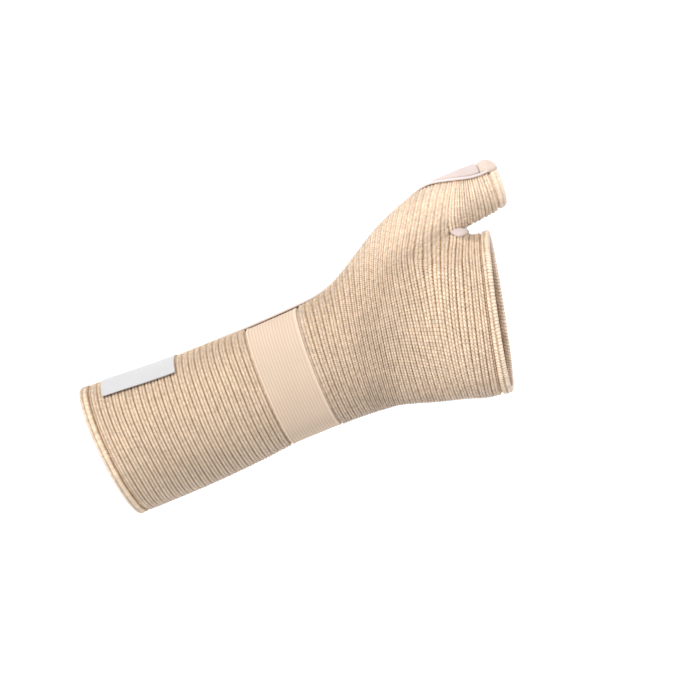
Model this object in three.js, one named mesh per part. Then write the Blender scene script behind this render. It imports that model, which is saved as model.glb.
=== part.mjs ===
// A knitted wrist and thumb support, the right-sided one, in the shape that it has when worn.
// Millimetres. The origin is the middle of the wrist: +X runs along the sleeve towards the palm's edge,
// +Y towards the thumb side and +Z out of the dorsal side.
import * as THREE from 'three';

// Forearm end, from the middle of the wrist
const FOREARM_REACH = 103;
const FOREARM_WIDTH = 72;
const FOREARM_DEPTH = 58;

// Wrist
const WRIST_WIDTH = 63;
const WRIST_DEPTH = 46.5;

// Palm, from the middle of the wrist, and the crotch between it and the thumb
const CROTCH_REACH = 105;
const CROTCH_OFFSET = 37.7;
const PALM_REACH = 124.8;
const PALM_WIDTH = 82;
const PALM_DEPTH = 33;
const HAND_RISE = 17;

// Thumb, from the middle of the wrist
const THUMB_REACH = 138;
const THUMB_OFFSET = 51;
const THUMB_WIDTH = 21.5;
const THUMB_DEPTH = 22.5;
const THUMB_DROP = 14;

// Web between the thumb and the palm: half its thickness, how far its palm side runs on, and its own bulge
const WEB_HALF_DEPTH = 6.5;
const WEB_SLOPE = 5;
const WEB_BULGE = 2.5;

// Knit
const KNIT_WALL = 2.2;
const RIB_PITCH = 3.5;
const RIB_HEIGHT = 0.5;

// Folded edges
const HEM_WIDTH = 5.4;
const HEM_DEPTH = 3.1;
const HEM_SWELL = 0.45;
const HEM_SEAM_STEP = 0.35;

// Woven strap round the wrist: its place from the middle of the wrist, and how far it presses the knit in
const STRAP_OFFSET = 1.5;
const STRAP_WIDTH = 28;
const STRAP_THICK = 1.3;
const STRAP_EDGE = 0.6;
const STRAP_SINK = 1.4;
const PRESS_INSIDE = 0.5;
const PRESS_OUTSIDE = 1.5;
const RIBS_FROM_STRAP = 1;

// Pocket for a stay, over the thumb side of the wrist and the thumb
const POCKET_BEFORE_WRIST = 29;
const POCKET_WIDTH = 20;
const POCKET_THICK = 1.3;
const POCKET_CROWN = 0.3;
const POCKET_END_CROWN = 1.1;
const PIPING_DIAMETER = 1.3;
const TAB_LENGTH = 9.6;
const TAB_THICK = 1.2;
const TAB_CROWN = 2.2;

// Gusset in the crotch of the thumb: its reach each way, and how much further it stands off the web's middle
const GUSSET_THICK = 0.8;
const GUSSET_REACH = 5;
const GUSSET_BEND = 3.5;
const WEB_FILL = 1.8;

// Label near the forearm end. Its sewn part lies flat and the rest lifts off the knit.
const LABEL_FROM_EDGE = 12;
const LABEL_LENGTH = 39;
const LABEL_HEIGHT = 24;
const LABEL_PAST_SIDE = 3.5;
const LABEL_SEWN = 7.2;
const LABEL_THICK = 0.5;
const LABEL_LIFT = 1.1;

// Gap between neighbours, so that no two solids touch, and the pocket's further one over the round of the wrist
const GAP = 0.3;
const POCKET_EASE = 0.27;

// Columns of the knit mesh: half a section, the column of the crotch, and the web's own columns
const HALF_COLUMNS = 16;
const CROTCH_COLUMN = 10;
const WEB_COLUMNS = 3;

// Mesh steps along the sleeve, and columns across the flat pieces
const INNER_STEP = 17.5;
const INNER_BRANCH_STEP = 2.8;
const POCKET_STEP = 4.6;
const TAB_STEP = 2.2;
const LABEL_STEP = 6.5;
const SHEET_COLUMNS = 5;
const PIPING_STEPS = 32;
const PIPING_CURVE_SEGMENTS = 4;

// Steps for measuring directions and distances on the surface: in columns, and in millimetres along the sleeve
const COLUMN_STEP = 0.05;
const STATION_STEP = 0.4;

const CLOTHS = {
  knit: { color: 0xe3c8ab, roughness: 0.95 },
  strap: { color: 0xeed8bf, roughness: 0.7 },
  pocket: { color: 0xe8d5cc, roughness: 0.8 },
  tab: { color: 0xe6cfb6, roughness: 0.85 },
  label: { color: 0xf1f0f3, roughness: 0.5 },
};

// Sections that the forearm, wrist and palm share, from the forearm end to the crotch of the thumb.
// x of both sides is a share of reach, y a share of width, heights and z shares of depth.
// lobes: how far the section has parted into a palm and a thumb.
// lean: how far the dorsal side shifts towards the forearm end, in degrees.
const BODY_ROWS = [
  { reach: FOREARM_REACH, width: FOREARM_WIDTH, depth: FOREARM_DEPTH, ulnarX: -0.981, radialX: -1.02,
    ulnarY: -0.485, radialY: 0.51, palmZ: 0, thumbZ: 0, dorsal: 0.483, volar: 0.517, bow: 0, lobes: 0, lean: 2.5 },
  { reach: FOREARM_REACH, width: FOREARM_WIDTH, depth: FOREARM_DEPTH, ulnarX: -0.592, radialX: -0.592,
    ulnarY: -0.482, radialY: 0.468, palmZ: 0, thumbZ: 0, dorsal: 0.466, volar: 0.491, bow: 0, lobes: 0, lean: 2 },
  { reach: FOREARM_REACH, width: FOREARM_WIDTH, depth: FOREARM_DEPTH, ulnarX: -0.291, radialX: -0.291,
    ulnarY: -0.461, radialY: 0.46, palmZ: 0, thumbZ: 0, dorsal: 0.428, volar: 0.452, bow: 0, lobes: 0, lean: 1 },
  { reach: FOREARM_REACH, width: WRIST_WIDTH, depth: WRIST_DEPTH, ulnarX: -0.13, radialX: -0.13,
    ulnarY: -0.504, radialY: 0.51, palmZ: 0, thumbZ: 0, dorsal: 0.49, volar: 0.523, bow: 0, lobes: 0, lean: 0 },
  { reach: CROTCH_REACH, width: WRIST_WIDTH, depth: WRIST_DEPTH, ulnarX: 0.133, radialX: 0.145,
    ulnarY: -0.503, radialY: 0.518, palmZ: 0.01, thumbZ: 0, dorsal: 0.473, volar: 0.527, bow: 0, lobes: 0, lean: 1 },
  { reach: CROTCH_REACH, width: WRIST_WIDTH, depth: WRIST_DEPTH, ulnarX: 0.224, radialX: 0.271,
    ulnarY: -0.505, radialY: 0.538, palmZ: 0.025, thumbZ: 0, dorsal: 0.462, volar: 0.546, bow: 0, lobes: 0, lean: 1 },
  { reach: CROTCH_REACH, width: PALM_WIDTH, depth: PALM_DEPTH, ulnarX: 0.305, radialX: 0.381,
    ulnarY: -0.394, radialY: 0.461, palmZ: 0.06, thumbZ: 0, dorsal: 0.636, volar: 0.788, bow: 0, lobes: 0, lean: 2 },
  { reach: CROTCH_REACH, width: PALM_WIDTH, depth: PALM_DEPTH, ulnarX: 0.383, radialX: 0.536,
    ulnarY: -0.402, radialY: 0.575, palmZ: 0.11, thumbZ: -0.02, dorsal: 0.62, volar: 0.76, bow: 0, lobes: 0.15, lean: 2 },
  { reach: CROTCH_REACH, width: PALM_WIDTH, depth: PALM_DEPTH, ulnarX: 0.468, radialX: 0.697,
    ulnarY: -0.417, radialY: 0.686, palmZ: 0.17, thumbZ: -0.05, dorsal: 0.6, volar: 0.72, bow: 0, lobes: 0.4, lean: 3 },
  { reach: CROTCH_REACH, width: PALM_WIDTH, depth: PALM_DEPTH, ulnarX: 0.64, radialX: 0.918,
    ulnarY: -0.485, radialY: 0.779, palmZ: 0.28, thumbZ: -0.12, dorsal: 0.56, volar: 0.62, bow: -0.02, lobes: 0.72, lean: 3 },
  { reach: CROTCH_REACH, width: PALM_WIDTH, depth: PALM_DEPTH, ulnarX: 0.795, radialX: 1.124,
    ulnarY: -0.541, radialY: 0.785, palmZ: 0.38, thumbZ: -0.22, dorsal: 0.54, volar: 0.54, bow: -0.04, lobes: 1, lean: 3 },
];

// The palm after the crotch, out to its edge: x a share of reach, y of width, z of rise, half its depth of depth.
// parting: how much of a half turn the back or the front takes, up to the web
const PALM_ROWS = [
  { ulnarX: 0.744, radialX: 0.926, ulnarY: -0.577, radialY: 0.4, ulnarZ: 0.95, radialZ: 0.58,
    half: 0.55, lean: 3, parting: 0.9 },
  { ulnarX: 0.848, radialX: 1.003, ulnarY: -0.6, radialY: 0.384, ulnarZ: 1.02, radialZ: 0.88,
    half: 0.495, lean: 3, parting: 0.84 },
];

// The thumb after the crotch, out to its edge: y from its own middle line as a share of its width
const THUMB_ROWS = [
  { ulnarX: 0.866, radialX: 0.903, ulnarY: -0.57, radialY: 0.605, drop: 0.66, half: 0.585,
    lean: -10, parting: 0.85 },
  { ulnarX: 0.94, radialX: 0.95, ulnarY: -0.52, radialY: 0.585, drop: 0.86, half: 0.53,
    lean: -12, parting: 0.79 },
  { ulnarX: 0.992, radialX: 1.004, ulnarY: -0.46, radialY: 0.49, drop: 1, half: 0.5,
    lean: -12, parting: 0.75 },
];

// Course of the pocket's edge on the dorsal side: place between its start (0) and the thumb's edge (1),
// and distance from the thumb side's outline, as a share of the pocket's width
const POCKET_EDGE = [
  { place: 0, offset: -0.3 },
  { place: 0.1, offset: -0.1 },
  { place: 0.28, offset: -0.06 },
  { place: 0.4, offset: -0.25 },
  { place: 0.52, offset: -0.42 },
  { place: 0.63, offset: -0.32 },
  { place: 0.7, offset: -0.06 },
  { place: 0.75, offset: 0.22 },
  { place: 0.81, offset: 0.44 },
  { place: 0.88, offset: 0.54 },
  { place: 0.95, offset: 0.52 },
  { place: 1, offset: 0.34 },
];

// How boxy the palm's sections are: 1 is an ellipse, less is fuller
const LOBE_FULLNESS = 0.85;

// Half the depth of the thumb's own oval at the crotch, as a share of the thumb's depth
const THUMB_BASE_HALF = 0.62;

// How far round the half section the web's thickness and its crease reach, as shares of it
const WEB_SPREAD = 0.12;
const CREASE_SPREAD = 0.08;

// Where across the section the middle starts to drop from the palm's height to the thumb's: -1 and 1 are the sides
const DROP_START = 0.2;

// Profile of a folded edge, as shares of its width and depth: its flat part and the round of its fold
const HEM_FLAT_START = 0.16;
const HEM_FLAT_END = 0.72;
const HEM_FOLD_ROUND = 0.28;

// Height of the strap's edge above its underside, as a share of its thickness
const STRAP_EDGE_HEIGHT = 0.35;

const CROTCH_SHARE = CROTCH_COLUMN / HALF_COLUMNS;
const WEB_STEPS = WEB_COLUMNS + 1;
const LOOP_COLUMNS = {
  palm: 2 * CROTCH_COLUMN + WEB_STEPS,
  thumb: 2 * (HALF_COLUMNS - CROTCH_COLUMN) + WEB_STEPS,
  body: 2 * HALF_COLUMNS,
};

const { lerp, smoothstep, degToRad } = THREE.MathUtils;

// Where a column of a loop lies: share of the half section from the ulnar side, or place on the web.
function columnAt(loop, q) {
  const columns = LOOP_COLUMNS[loop];
  const at = ((q % columns) + columns) % columns;
  if (loop === 'body') {
    return at <= HALF_COLUMNS
      ? { side: 1, share: at / HALF_COLUMNS }
      : { side: -1, share: (columns - at) / HALF_COLUMNS };
  }
  if (loop === 'palm') {
    if (at <= CROTCH_COLUMN) return { side: 1, share: at / HALF_COLUMNS };
    if (at < CROTCH_COLUMN + WEB_STEPS) return { web: (at - CROTCH_COLUMN) / WEB_STEPS };
    return { side: -1, share: (columns - at) / HALF_COLUMNS };
  }
  const across = 2 * (HALF_COLUMNS - CROTCH_COLUMN);
  if (at <= across / 2) return { side: 1, share: (CROTCH_COLUMN + at) / HALF_COLUMNS };
  if (at <= across) return { side: -1, share: (CROTCH_COLUMN + across - at) / HALF_COLUMNS };
  return { web: 1 - (at - across) / WEB_STEPS };
}

// A point of a shared section.
function bodyPoint(row, column) {
  if (column.web !== undefined) {
    const back = bodyPoint(row, { side: 1, share: CROTCH_SHARE });
    back.lerp(bodyPoint(row, { side: -1, share: CROTCH_SHARE }), column.web);
    back.x += WEB_BULGE * Math.sin(Math.PI * column.web);
    return back;
  }
  const { side, share } = column;
  const inPalm = share <= CROTCH_SHARE;
  const lobeTurn = inPalm
    ? (Math.PI * share) / CROTCH_SHARE
    : (Math.PI * (share - CROTCH_SHARE)) / (1 - CROTCH_SHARE);
  const ulnarY = row.ulnarY * row.width;
  const radialY = row.radialY * row.width;
  const last = BODY_ROWS[BODY_ROWS.length - 1];
  const crotchShare = (CROTCH_OFFSET - last.ulnarY * last.width) / ((last.radialY - last.ulnarY) * last.width);
  const crotchW = 2 * crotchShare - 1;
  const lobeStep = (1 - Math.cos(lobeTurn)) / 2;
  const lobeW = inPalm ? lerp(-1, crotchW, lobeStep) : lerp(crotchW, 1, lobeStep);
  const w = lerp(-Math.cos(Math.PI * share), lobeW, row.lobes);

  const half = (side > 0 ? row.dorsal : row.volar) * row.depth;
  const parted = row.lobes ** 2;
  const fullness = lerp(1, LOBE_FULLNESS, row.lobes);
  const whole = Math.sin(Math.PI * share) ** fullness;
  const thumbHalf = THUMB_BASE_HALF * THUMB_DEPTH;
  const lobeHalf = inPalm
    ? Math.abs(Math.sin(lobeTurn)) ** fullness * half
    : Math.abs(Math.sin(lobeTurn)) * lerp(half, thumbHalf, row.lobes);
  const nearCrotch = Math.exp(-(((share - CROTCH_SHARE) / WEB_SPREAD) ** 2));
  const lobed = Math.hypot(lobeHalf, WEB_HALF_DEPTH * nearCrotch);
  const height = side * lerp(whole * half, lobed, parted);

  const middleZ = lerp(row.palmZ, row.thumbZ, smoothstep(w, DROP_START, 1)) * row.depth;
  const bow = row.bow * row.reach * (1 - w * w);
  const run = side < 0 ? WEB_SLOPE * nearCrotch * row.lobes ** 4 : 0;
  const x = lerp(row.ulnarX, row.radialX, (w + 1) / 2) * row.reach + bow + run;
  const y = lerp(ulnarY, radialY, (w + 1) / 2);
  return new THREE.Vector3(x - height * Math.tan(degToRad(row.lean)), y, middleZ + height);
}

// The turn of a column round the palm's own oval, from its ulnar side. The web takes what parting leaves.
function palmTurn(parting, { side, share, web }) {
  if (web !== undefined) return Math.PI * lerp(parting, 2 - parting, web);
  return (Math.PI * side * parting * share) / CROTCH_SHARE;
}

// The turn of a column round the thumb's own oval, from its ulnar side.
function thumbTurn(parting, { side, share, web }) {
  if (web !== undefined) return Math.PI * lerp(1 - parting, parting - 1, web);
  return Math.PI * side * lerp(1 - parting, 1, (share - CROTCH_SHARE) / (1 - CROTCH_SHARE));
}

function palmPoint(row, column) {
  const turn = palmTurn(row.parting, column);
  const across = (1 - Math.cos(turn)) / 2;
  const round = Math.sign(Math.sin(turn)) * Math.abs(Math.sin(turn)) ** LOBE_FULLNESS;
  const height = round * row.half * PALM_DEPTH;
  return new THREE.Vector3(
    lerp(row.ulnarX, row.radialX, across) * PALM_REACH - height * Math.tan(degToRad(row.lean)),
    lerp(row.ulnarY, row.radialY, across) * PALM_WIDTH,
    lerp(row.ulnarZ, row.radialZ, across) * HAND_RISE + height,
  );
}

function thumbPoint(row, column) {
  const turn = thumbTurn(row.parting, column);
  const across = (1 - Math.cos(turn)) / 2;
  const height = Math.sin(turn) * row.half * THUMB_DEPTH;
  return new THREE.Vector3(
    lerp(row.ulnarX, row.radialX, across) * THUMB_REACH - height * Math.tan(degToRad(row.lean)),
    THUMB_OFFSET + lerp(row.ulnarY, row.radialY, across) * THUMB_WIDTH,
    height - row.drop * THUMB_DROP,
  );
}

// Distances of the sections along the sleeve, measured through their middles.
const littleSide = { side: 1, share: 0 };
const thumbSide = { side: 1, share: 1 };
const crotch = { side: 1, share: CROTCH_SHARE };

function middle(points) {
  return points.reduce((sum, p) => sum.add(p), new THREE.Vector3()).divideScalar(points.length);
}

function addUp(start, middles) {
  const distances = [];
  let at = start;
  for (let i = 1; i < middles.length; i += 1) {
    at += middles[i].distanceTo(middles[i - 1]);
    distances.push(at);
  }
  return distances;
}

const lastBodyRow = BODY_ROWS[BODY_ROWS.length - 1];
const bodyMiddles = BODY_ROWS.map((row) => middle([bodyPoint(row, littleSide), bodyPoint(row, thumbSide)]));
const bodyStations = [0, ...addUp(0, bodyMiddles)];
const CROTCH_STATION = bodyStations[bodyStations.length - 1];
const palmStations = addUp(CROTCH_STATION, [
  middle([bodyPoint(lastBodyRow, littleSide), bodyPoint(lastBodyRow, crotch)]),
  ...PALM_ROWS.map((row) => middle([palmPoint(row, littleSide), palmPoint(row, { web: 0.5 })])),
]);
const thumbStations = addUp(CROTCH_STATION, [
  middle([bodyPoint(lastBodyRow, crotch), bodyPoint(lastBodyRow, thumbSide)]),
  ...THUMB_ROWS.map((row) => middle([thumbPoint(row, thumbSide), thumbPoint(row, { web: 0.5 })])),
]);
const PALM_EDGE = palmStations[palmStations.length - 1];
const THUMB_EDGE = thumbStations[thumbStations.length - 1];

// The knots of a column: the points where it crosses the sections, and their distances along the sleeve.
function knotsOf(loop, column) {
  const branch = loop === 'thumb' || (loop === 'body' && column.share > CROTCH_SHARE) ? 'thumb' : 'palm';
  const rows = branch === 'palm' ? PALM_ROWS : THUMB_ROWS;
  const pointOf = branch === 'palm' ? palmPoint : thumbPoint;
  const onWeb = column.web !== undefined;
  const shared = onWeb ? [lastBodyRow] : BODY_ROWS;
  const points = [...shared.map((row) => bodyPoint(row, column)), ...rows.map((row) => pointOf(row, column))];
  const stations = [...bodyStations.slice(-shared.length), ...(branch === 'palm' ? palmStations : thumbStations)];
  const nearCrotch = onWeb ? 0 : Math.exp(-(((column.share - CROTCH_SHARE) / CREASE_SPREAD) ** 2));
  return { points, stations, joint: onWeb ? -1 : shared.length - 1, nearCrotch };
}

function chord({ points, stations }, from, to) {
  return points[to].clone().sub(points[from]).divideScalar(stations[to] - stations[from]);
}

// Slope of a column at a knot, before it or after it. Close to the crotch the two sides of the joint part.
function slopeAt(knots, i, after) {
  const last = knots.points.length - 1;
  const slope = chord(knots, Math.max(i - 1, 0), Math.min(i + 1, last));
  if (i !== knots.joint) return slope;
  return slope.lerp(after ? chord(knots, i, i + 1) : chord(knots, i - 1, i), knots.nearCrotch);
}

const knotStore = new Map();

// A point of the knit's outer surface.
function surface(loop, q, station) {
  const key = `${loop} ${q}`;
  if (!knotStore.has(key)) knotStore.set(key, knotsOf(loop, columnAt(loop, q)));
  const knots = knotStore.get(key);
  const { points, stations } = knots;
  let i = 0;
  while (i < stations.length - 2 && station > stations[i + 1]) i += 1;
  const span = stations[i + 1] - stations[i];
  const t = (station - stations[i]) / span;
  const from = slopeAt(knots, i, true).multiplyScalar(span);
  const to = slopeAt(knots, i + 1, false).multiplyScalar(span);
  return points[i].clone().multiplyScalar(2 * t ** 3 - 3 * t ** 2 + 1)
    .addScaledVector(from, t ** 3 - 2 * t ** 2 + t)
    .addScaledVector(points[i + 1], 3 * t ** 2 - 2 * t ** 3)
    .addScaledVector(to, t ** 3 - t ** 2);
}

const ENDS = { body: [0, CROTCH_STATION], palm: [CROTCH_STATION, PALM_EDGE], thumb: [CROTCH_STATION, THUMB_EDGE] };

// The outward direction of the knit's outer surface, as long as the surface is stretched there.
function stretchedOutward(loop, q, station) {
  const onWeb = columnAt(loop, q).web !== undefined;
  const [first, last] = ENDS[loop];
  const low = Math.max(station - STATION_STEP, onWeb ? first : 0);
  const high = Math.min(station + STATION_STEP, last);
  const along = surface(loop, q, high).sub(surface(loop, q, low));
  const round = surface(loop, q + COLUMN_STEP, station).sub(surface(loop, q - COLUMN_STEP, station));
  return along.cross(round);
}

function outward(loop, q, station) {
  return stretchedOutward(loop, q, station).normalize();
}

// The stations of the middle of the wrist and of what is placed from it.
const afterWrist = bodyMiddles.findIndex(({ x }) => x > 0);
const WRIST_STATION = bodyStations[afterWrist]
  - (bodyMiddles[afterWrist].x * (bodyStations[afterWrist] - bodyStations[afterWrist - 1]))
  / (bodyMiddles[afterWrist].x - bodyMiddles[afterWrist - 1].x);
const STRAP_MIDDLE = WRIST_STATION + STRAP_OFFSET;
const STRAP_START = STRAP_MIDDLE - STRAP_WIDTH / 2;
const STRAP_END = STRAP_MIDDLE + STRAP_WIDTH / 2;
const POCKET_START = WRIST_STATION - POCKET_BEFORE_WRIST;
const POCKET_END = THUMB_EDGE - TAB_LENGTH - GAP;

// How far the strap presses the knit in at a station.
function pressedIn(station) {
  const fromEdge = Math.abs(station - STRAP_MIDDLE) - STRAP_WIDTH / 2;
  return -STRAP_SINK * (1 - smoothstep(fromEdge, -PRESS_INSIDE, PRESS_OUTSIDE));
}

// A point off the knit's outer surface. A knit point is pressed in by the strap.
function off(loop, q, station, distance) {
  return surface(loop, q, station).addScaledVector(outward(loop, q, station), distance);
}

function knitPoint(loop, q, station, distance) {
  return off(loop, q, station, distance + pressedIn(station));
}

// The place of a web column on the palm's loop or the thumb's.
function webQ(loop, column) {
  return loop === 'palm' ? CROTCH_COLUMN + column : LOOP_COLUMNS.thumb - column;
}

// The outward direction at a web column, evened out over its neighbours. Columns that crowd count for little.
function webOutward(loop, column, station) {
  const sum = new THREE.Vector3();
  for (const near of [column - 1, column, column + 1]) {
    sum.add(stretchedOutward(loop, webQ(loop, THREE.MathUtils.clamp(near, 0, WEB_STEPS)), station));
  }
  return sum.normalize();
}

// A point off the web's own line, midway between the palm's side and the thumb's.
function webPoint(column, distance) {
  const between = webOutward('palm', column, CROTCH_STATION)
    .add(webOutward('thumb', column, CROTCH_STATION))
    .normalize();
  return surface('palm', webQ('palm', column), CROTCH_STATION).addScaledVector(between, distance);
}

function named(name, geometry, cloth) {
  const mesh = new THREE.Mesh(geometry, new THREE.MeshStandardMaterial(cloth));
  mesh.name = name;
  return mesh;
}

// Collects the vertices and triangles of one closed solid.
class Solid {
  constructor() {
    this.positions = [];
    this.triangles = [];
  }

  vertex(point) {
    this.positions.push(point.x, point.y, point.z);
    return this.positions.length / 3 - 1;
  }

  ring(points) {
    return points.map((point) => this.vertex(point));
  }

  // Joins two rows of vertices. The outside is where the first row lies before the second, seen turning left.
  strip(a, b, closed = true) {
    const last = closed ? a.length : a.length - 1;
    for (let i = 0; i < last; i += 1) {
      const next = (i + 1) % a.length;
      this.triangles.push(a[i], b[i], b[next], a[i], b[next], a[next]);
    }
  }

  mesh(name, cloth) {
    const geometry = new THREE.BufferGeometry();
    geometry.setAttribute('position', new THREE.Float32BufferAttribute(this.positions, 3));
    geometry.setIndex(this.triangles);
    geometry.computeVertexNormals();
    return named(name, geometry, cloth);
  }
}

// Stations of one run of knit, two for each rib, from groove to groove.
function ribStations(from, to) {
  const ribs = Math.max(1, Math.round((to - from) / RIB_PITCH));
  return Array.from({ length: 2 * ribs + 1 }, (unused, i) => ({
    station: lerp(from, to, i / (2 * ribs)),
    lift: i % 2 === 1 ? RIB_HEIGHT / 2 : -RIB_HEIGHT / 2,
  }));
}

// Stations of a smooth run.
function plainStations(from, to, step) {
  const count = Math.max(1, Math.round((to - from) / step));
  return Array.from({ length: count + 1 }, (unused, i) => ({ station: lerp(from, to, i / count), lift: 0 }));
}

const KNIT_START = HEM_WIDTH + GAP;
const PALM_KNIT_END = PALM_EDGE - HEM_WIDTH - GAP;
const THUMB_KNIT_END = THUMB_EDGE - HEM_WIDTH - GAP;

// The rings of one surface of the knit, the outer one with its ribs or the inner one without.
function knitRings(inner) {
  if (inner) {
    const sink = ({ station }) => ({ station, lift: -KNIT_WALL });
    return {
      body: plainStations(KNIT_START, CROTCH_STATION, INNER_STEP).map(sink),
      palm: plainStations(CROTCH_STATION, PALM_KNIT_END, INNER_BRANCH_STEP).map(sink),
      thumb: plainStations(CROTCH_STATION, THUMB_KNIT_END, INNER_BRANCH_STEP).map(sink),
    };
  }
  return {
    body: [
      ...ribStations(KNIT_START, STRAP_START - RIBS_FROM_STRAP),
      ...plainStations(STRAP_START, STRAP_END, STRAP_WIDTH / 2),
      ...ribStations(STRAP_END + RIBS_FROM_STRAP, CROTCH_STATION),
    ],
    palm: ribStations(CROTCH_STATION, PALM_KNIT_END),
    thumb: ribStations(CROTCH_STATION, THUMB_KNIT_END),
  };
}

// Builds one surface of the knit into the solid and returns its three open ends.
function knitSurface(solid, rings, inner) {
  const join = (a, b) => (inner ? solid.strip(b, a) : solid.strip(a, b));
  const ringOf = (loop, { station, lift }) => solid.ring(
    Array.from({ length: LOOP_COLUMNS[loop] }, (unused, q) => knitPoint(loop, q, station, lift)),
  );
  const body = rings.body.map((ring) => ringOf('body', ring));
  for (let i = 1; i < body.length; i += 1) join(body[i - 1], body[i]);

  const parting = body[body.length - 1];
  const lift = rings.palm[0].lift;
  const web = Array.from({ length: WEB_COLUMNS }, (unused, i) => solid.vertex(webPoint(i + 1, lift)));
  const wholeLoop = LOOP_COLUMNS.body;
  const palmFirst = [
    ...parting.slice(0, CROTCH_COLUMN + 1),
    ...web,
    ...parting.slice(wholeLoop - CROTCH_COLUMN),
  ];
  const thumbFirst = [
    ...parting.slice(CROTCH_COLUMN, wholeLoop - CROTCH_COLUMN + 1),
    ...web.slice().reverse(),
  ];
  const palm = [palmFirst, ...rings.palm.slice(1).map((ring) => ringOf('palm', ring))];
  const thumb = [thumbFirst, ...rings.thumb.slice(1).map((ring) => ringOf('thumb', ring))];
  for (const branch of [palm, thumb]) {
    for (let i = 1; i < branch.length; i += 1) join(branch[i - 1], branch[i]);
  }
  return { forearm: body[0], palm: palm[palm.length - 1], thumb: thumb[thumb.length - 1] };
}

function knitSleeve() {
  const solid = new Solid();
  const outer = knitSurface(solid, knitRings(false), false);
  const inner = knitSurface(solid, knitRings(true), true);
  solid.strip(inner.forearm, outer.forearm);
  solid.strip(outer.palm, inner.palm);
  solid.strip(outer.thumb, inner.thumb);
  return solid.mesh('knit_sleeve', CLOTHS.knit);
}

// A band round a loop, from a profile of stations and distances off the knit, turning left seen from its left end.
function bandRound(loop, profile) {
  const solid = new Solid();
  const rows = profile.map(({ station, distance }) => solid.ring(
    Array.from({ length: LOOP_COLUMNS[loop] }, (unused, q) => off(loop, q, station, distance)),
  ));
  rows.forEach((row, i) => solid.strip(row, rows[(i + 1) % rows.length]));
  return solid;
}

// A folded edge: flat where it is sewn to the knit, round at its fold.
function hem(name, loop, seam, fold) {
  const top = HEM_SWELL;
  const under = HEM_SWELL - HEM_DEPTH;
  const width = fold - seam;
  const flatEnd = seam + HEM_FLAT_END * width;
  const profile = [
    { station: seam, distance: top - HEM_SEAM_STEP },
    { station: seam + HEM_FLAT_START * width, distance: top },
    { station: flatEnd, distance: top },
    { station: fold, distance: lerp(top, under, HEM_FOLD_ROUND) },
    { station: fold, distance: lerp(under, top, HEM_FOLD_ROUND) },
    { station: flatEnd, distance: under },
    { station: seam, distance: under },
  ];
  const outside = width > 0 ? profile : profile.reverse();
  return bandRound(loop, outside).mesh(name, CLOTHS.knit);
}

function wristStrap() {
  const under = GAP - STRAP_SINK;
  const top = under + STRAP_THICK;
  const edge = lerp(under, top, STRAP_EDGE_HEIGHT);
  const profile = [
    { station: STRAP_START, distance: edge },
    { station: STRAP_START + STRAP_EDGE, distance: top },
    { station: STRAP_END - STRAP_EDGE, distance: top },
    { station: STRAP_END, distance: edge },
    { station: STRAP_END - STRAP_EDGE, distance: under },
    { station: STRAP_START + STRAP_EDGE, distance: under },
  ];
  return bandRound('body', profile).mesh('wrist_strap', CLOTHS.strap);
}

// The loop that holds the thumb side's outline at a station, and that outline's column.
function thumbSideAt(station) {
  return station <= CROTCH_STATION
    ? { loop: 'body', q: HALF_COLUMNS }
    : { loop: 'thumb', q: HALF_COLUMNS - CROTCH_COLUMN };
}

// The place at a distance round from the thumb side's outline, positive towards the dorsal side.
function roundFromThumbSide(station, distance) {
  const { loop, q: start } = thumbSideAt(station);
  const step = distance > 0 ? -COLUMN_STEP : COLUMN_STEP;
  let q = start;
  let last = surface(loop, q, station);
  let travelled = 0;
  while (travelled < Math.abs(distance)) {
    const next = surface(loop, q + step, station);
    const length = next.distanceTo(last);
    if (travelled + length > Math.abs(distance)) {
      return { loop, q: q + (step * (Math.abs(distance) - travelled)) / length };
    }
    travelled += length;
    q += step;
    last = next;
  }
  return { loop, q };
}

// A point near the thumb side: a distance round from its outline, and a distance off the knit.
function besideThumb(station, round, distance) {
  const { loop, q } = roundFromThumbSide(station, round);
  return off(loop, q, station, distance);
}

// Closes a solid whose top and bottom are the same count of rows, each of the same count of vertices.
function closeSheet(solid, top, bottom) {
  const count = top.length;
  const last = top[0].length - 1;
  for (let i = 1; i < count; i += 1) {
    solid.strip(top[i - 1], top[i], false);
    solid.strip(bottom[i], bottom[i - 1], false);
    solid.strip([bottom[i - 1][0], top[i - 1][0]], [bottom[i][0], top[i][0]], false);
    solid.strip([top[i - 1][last], bottom[i - 1][last]], [top[i][last], bottom[i][last]], false);
  }
  solid.strip(bottom[0], top[0], false);
  solid.strip(top[count - 1], bottom[count - 1], false);
}

// A sheet laid over the thumb side. Each row gives its station and its two edges, and under and over
// give its faces' distances off the knit for a row's and a column's share.
function sheetOver(rows, under, over) {
  const solid = new Solid();
  const face = (distanceAt) => rows.map((row, i) => solid.ring(
    Array.from({ length: SHEET_COLUMNS + 1 }, (unused, j) => {
      const share = j / SHEET_COLUMNS;
      const distance = distanceAt(i / (rows.length - 1), share);
      return besideThumb(row.station, lerp(row.first, row.last, share), distance);
    }),
  ));
  closeSheet(solid, face(over), face(under));
  return solid;
}

const edgeCourse = new THREE.CubicInterpolant(
  POCKET_EDGE.map(({ place }) => place),
  POCKET_EDGE.map(({ offset }) => offset),
  1,
);

// The pocket's edge on the dorsal side, as a distance round from the thumb side's outline.
function pocketEdge(station) {
  return edgeCourse.evaluate((station - POCKET_START) / (THUMB_EDGE - POCKET_START))[0] * POCKET_WIDTH;
}

const OVER_RIBS = RIB_HEIGHT / 2 + GAP;
const UNDER_POCKET = OVER_RIBS + POCKET_EASE;

function pocketRows() {
  return plainStations(POCKET_START, POCKET_END, POCKET_STEP).map(({ station }) => {
    const edge = pocketEdge(station);
    return { station, first: edge - PIPING_DIAMETER - GAP, last: edge - POCKET_WIDTH };
  });
}

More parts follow.
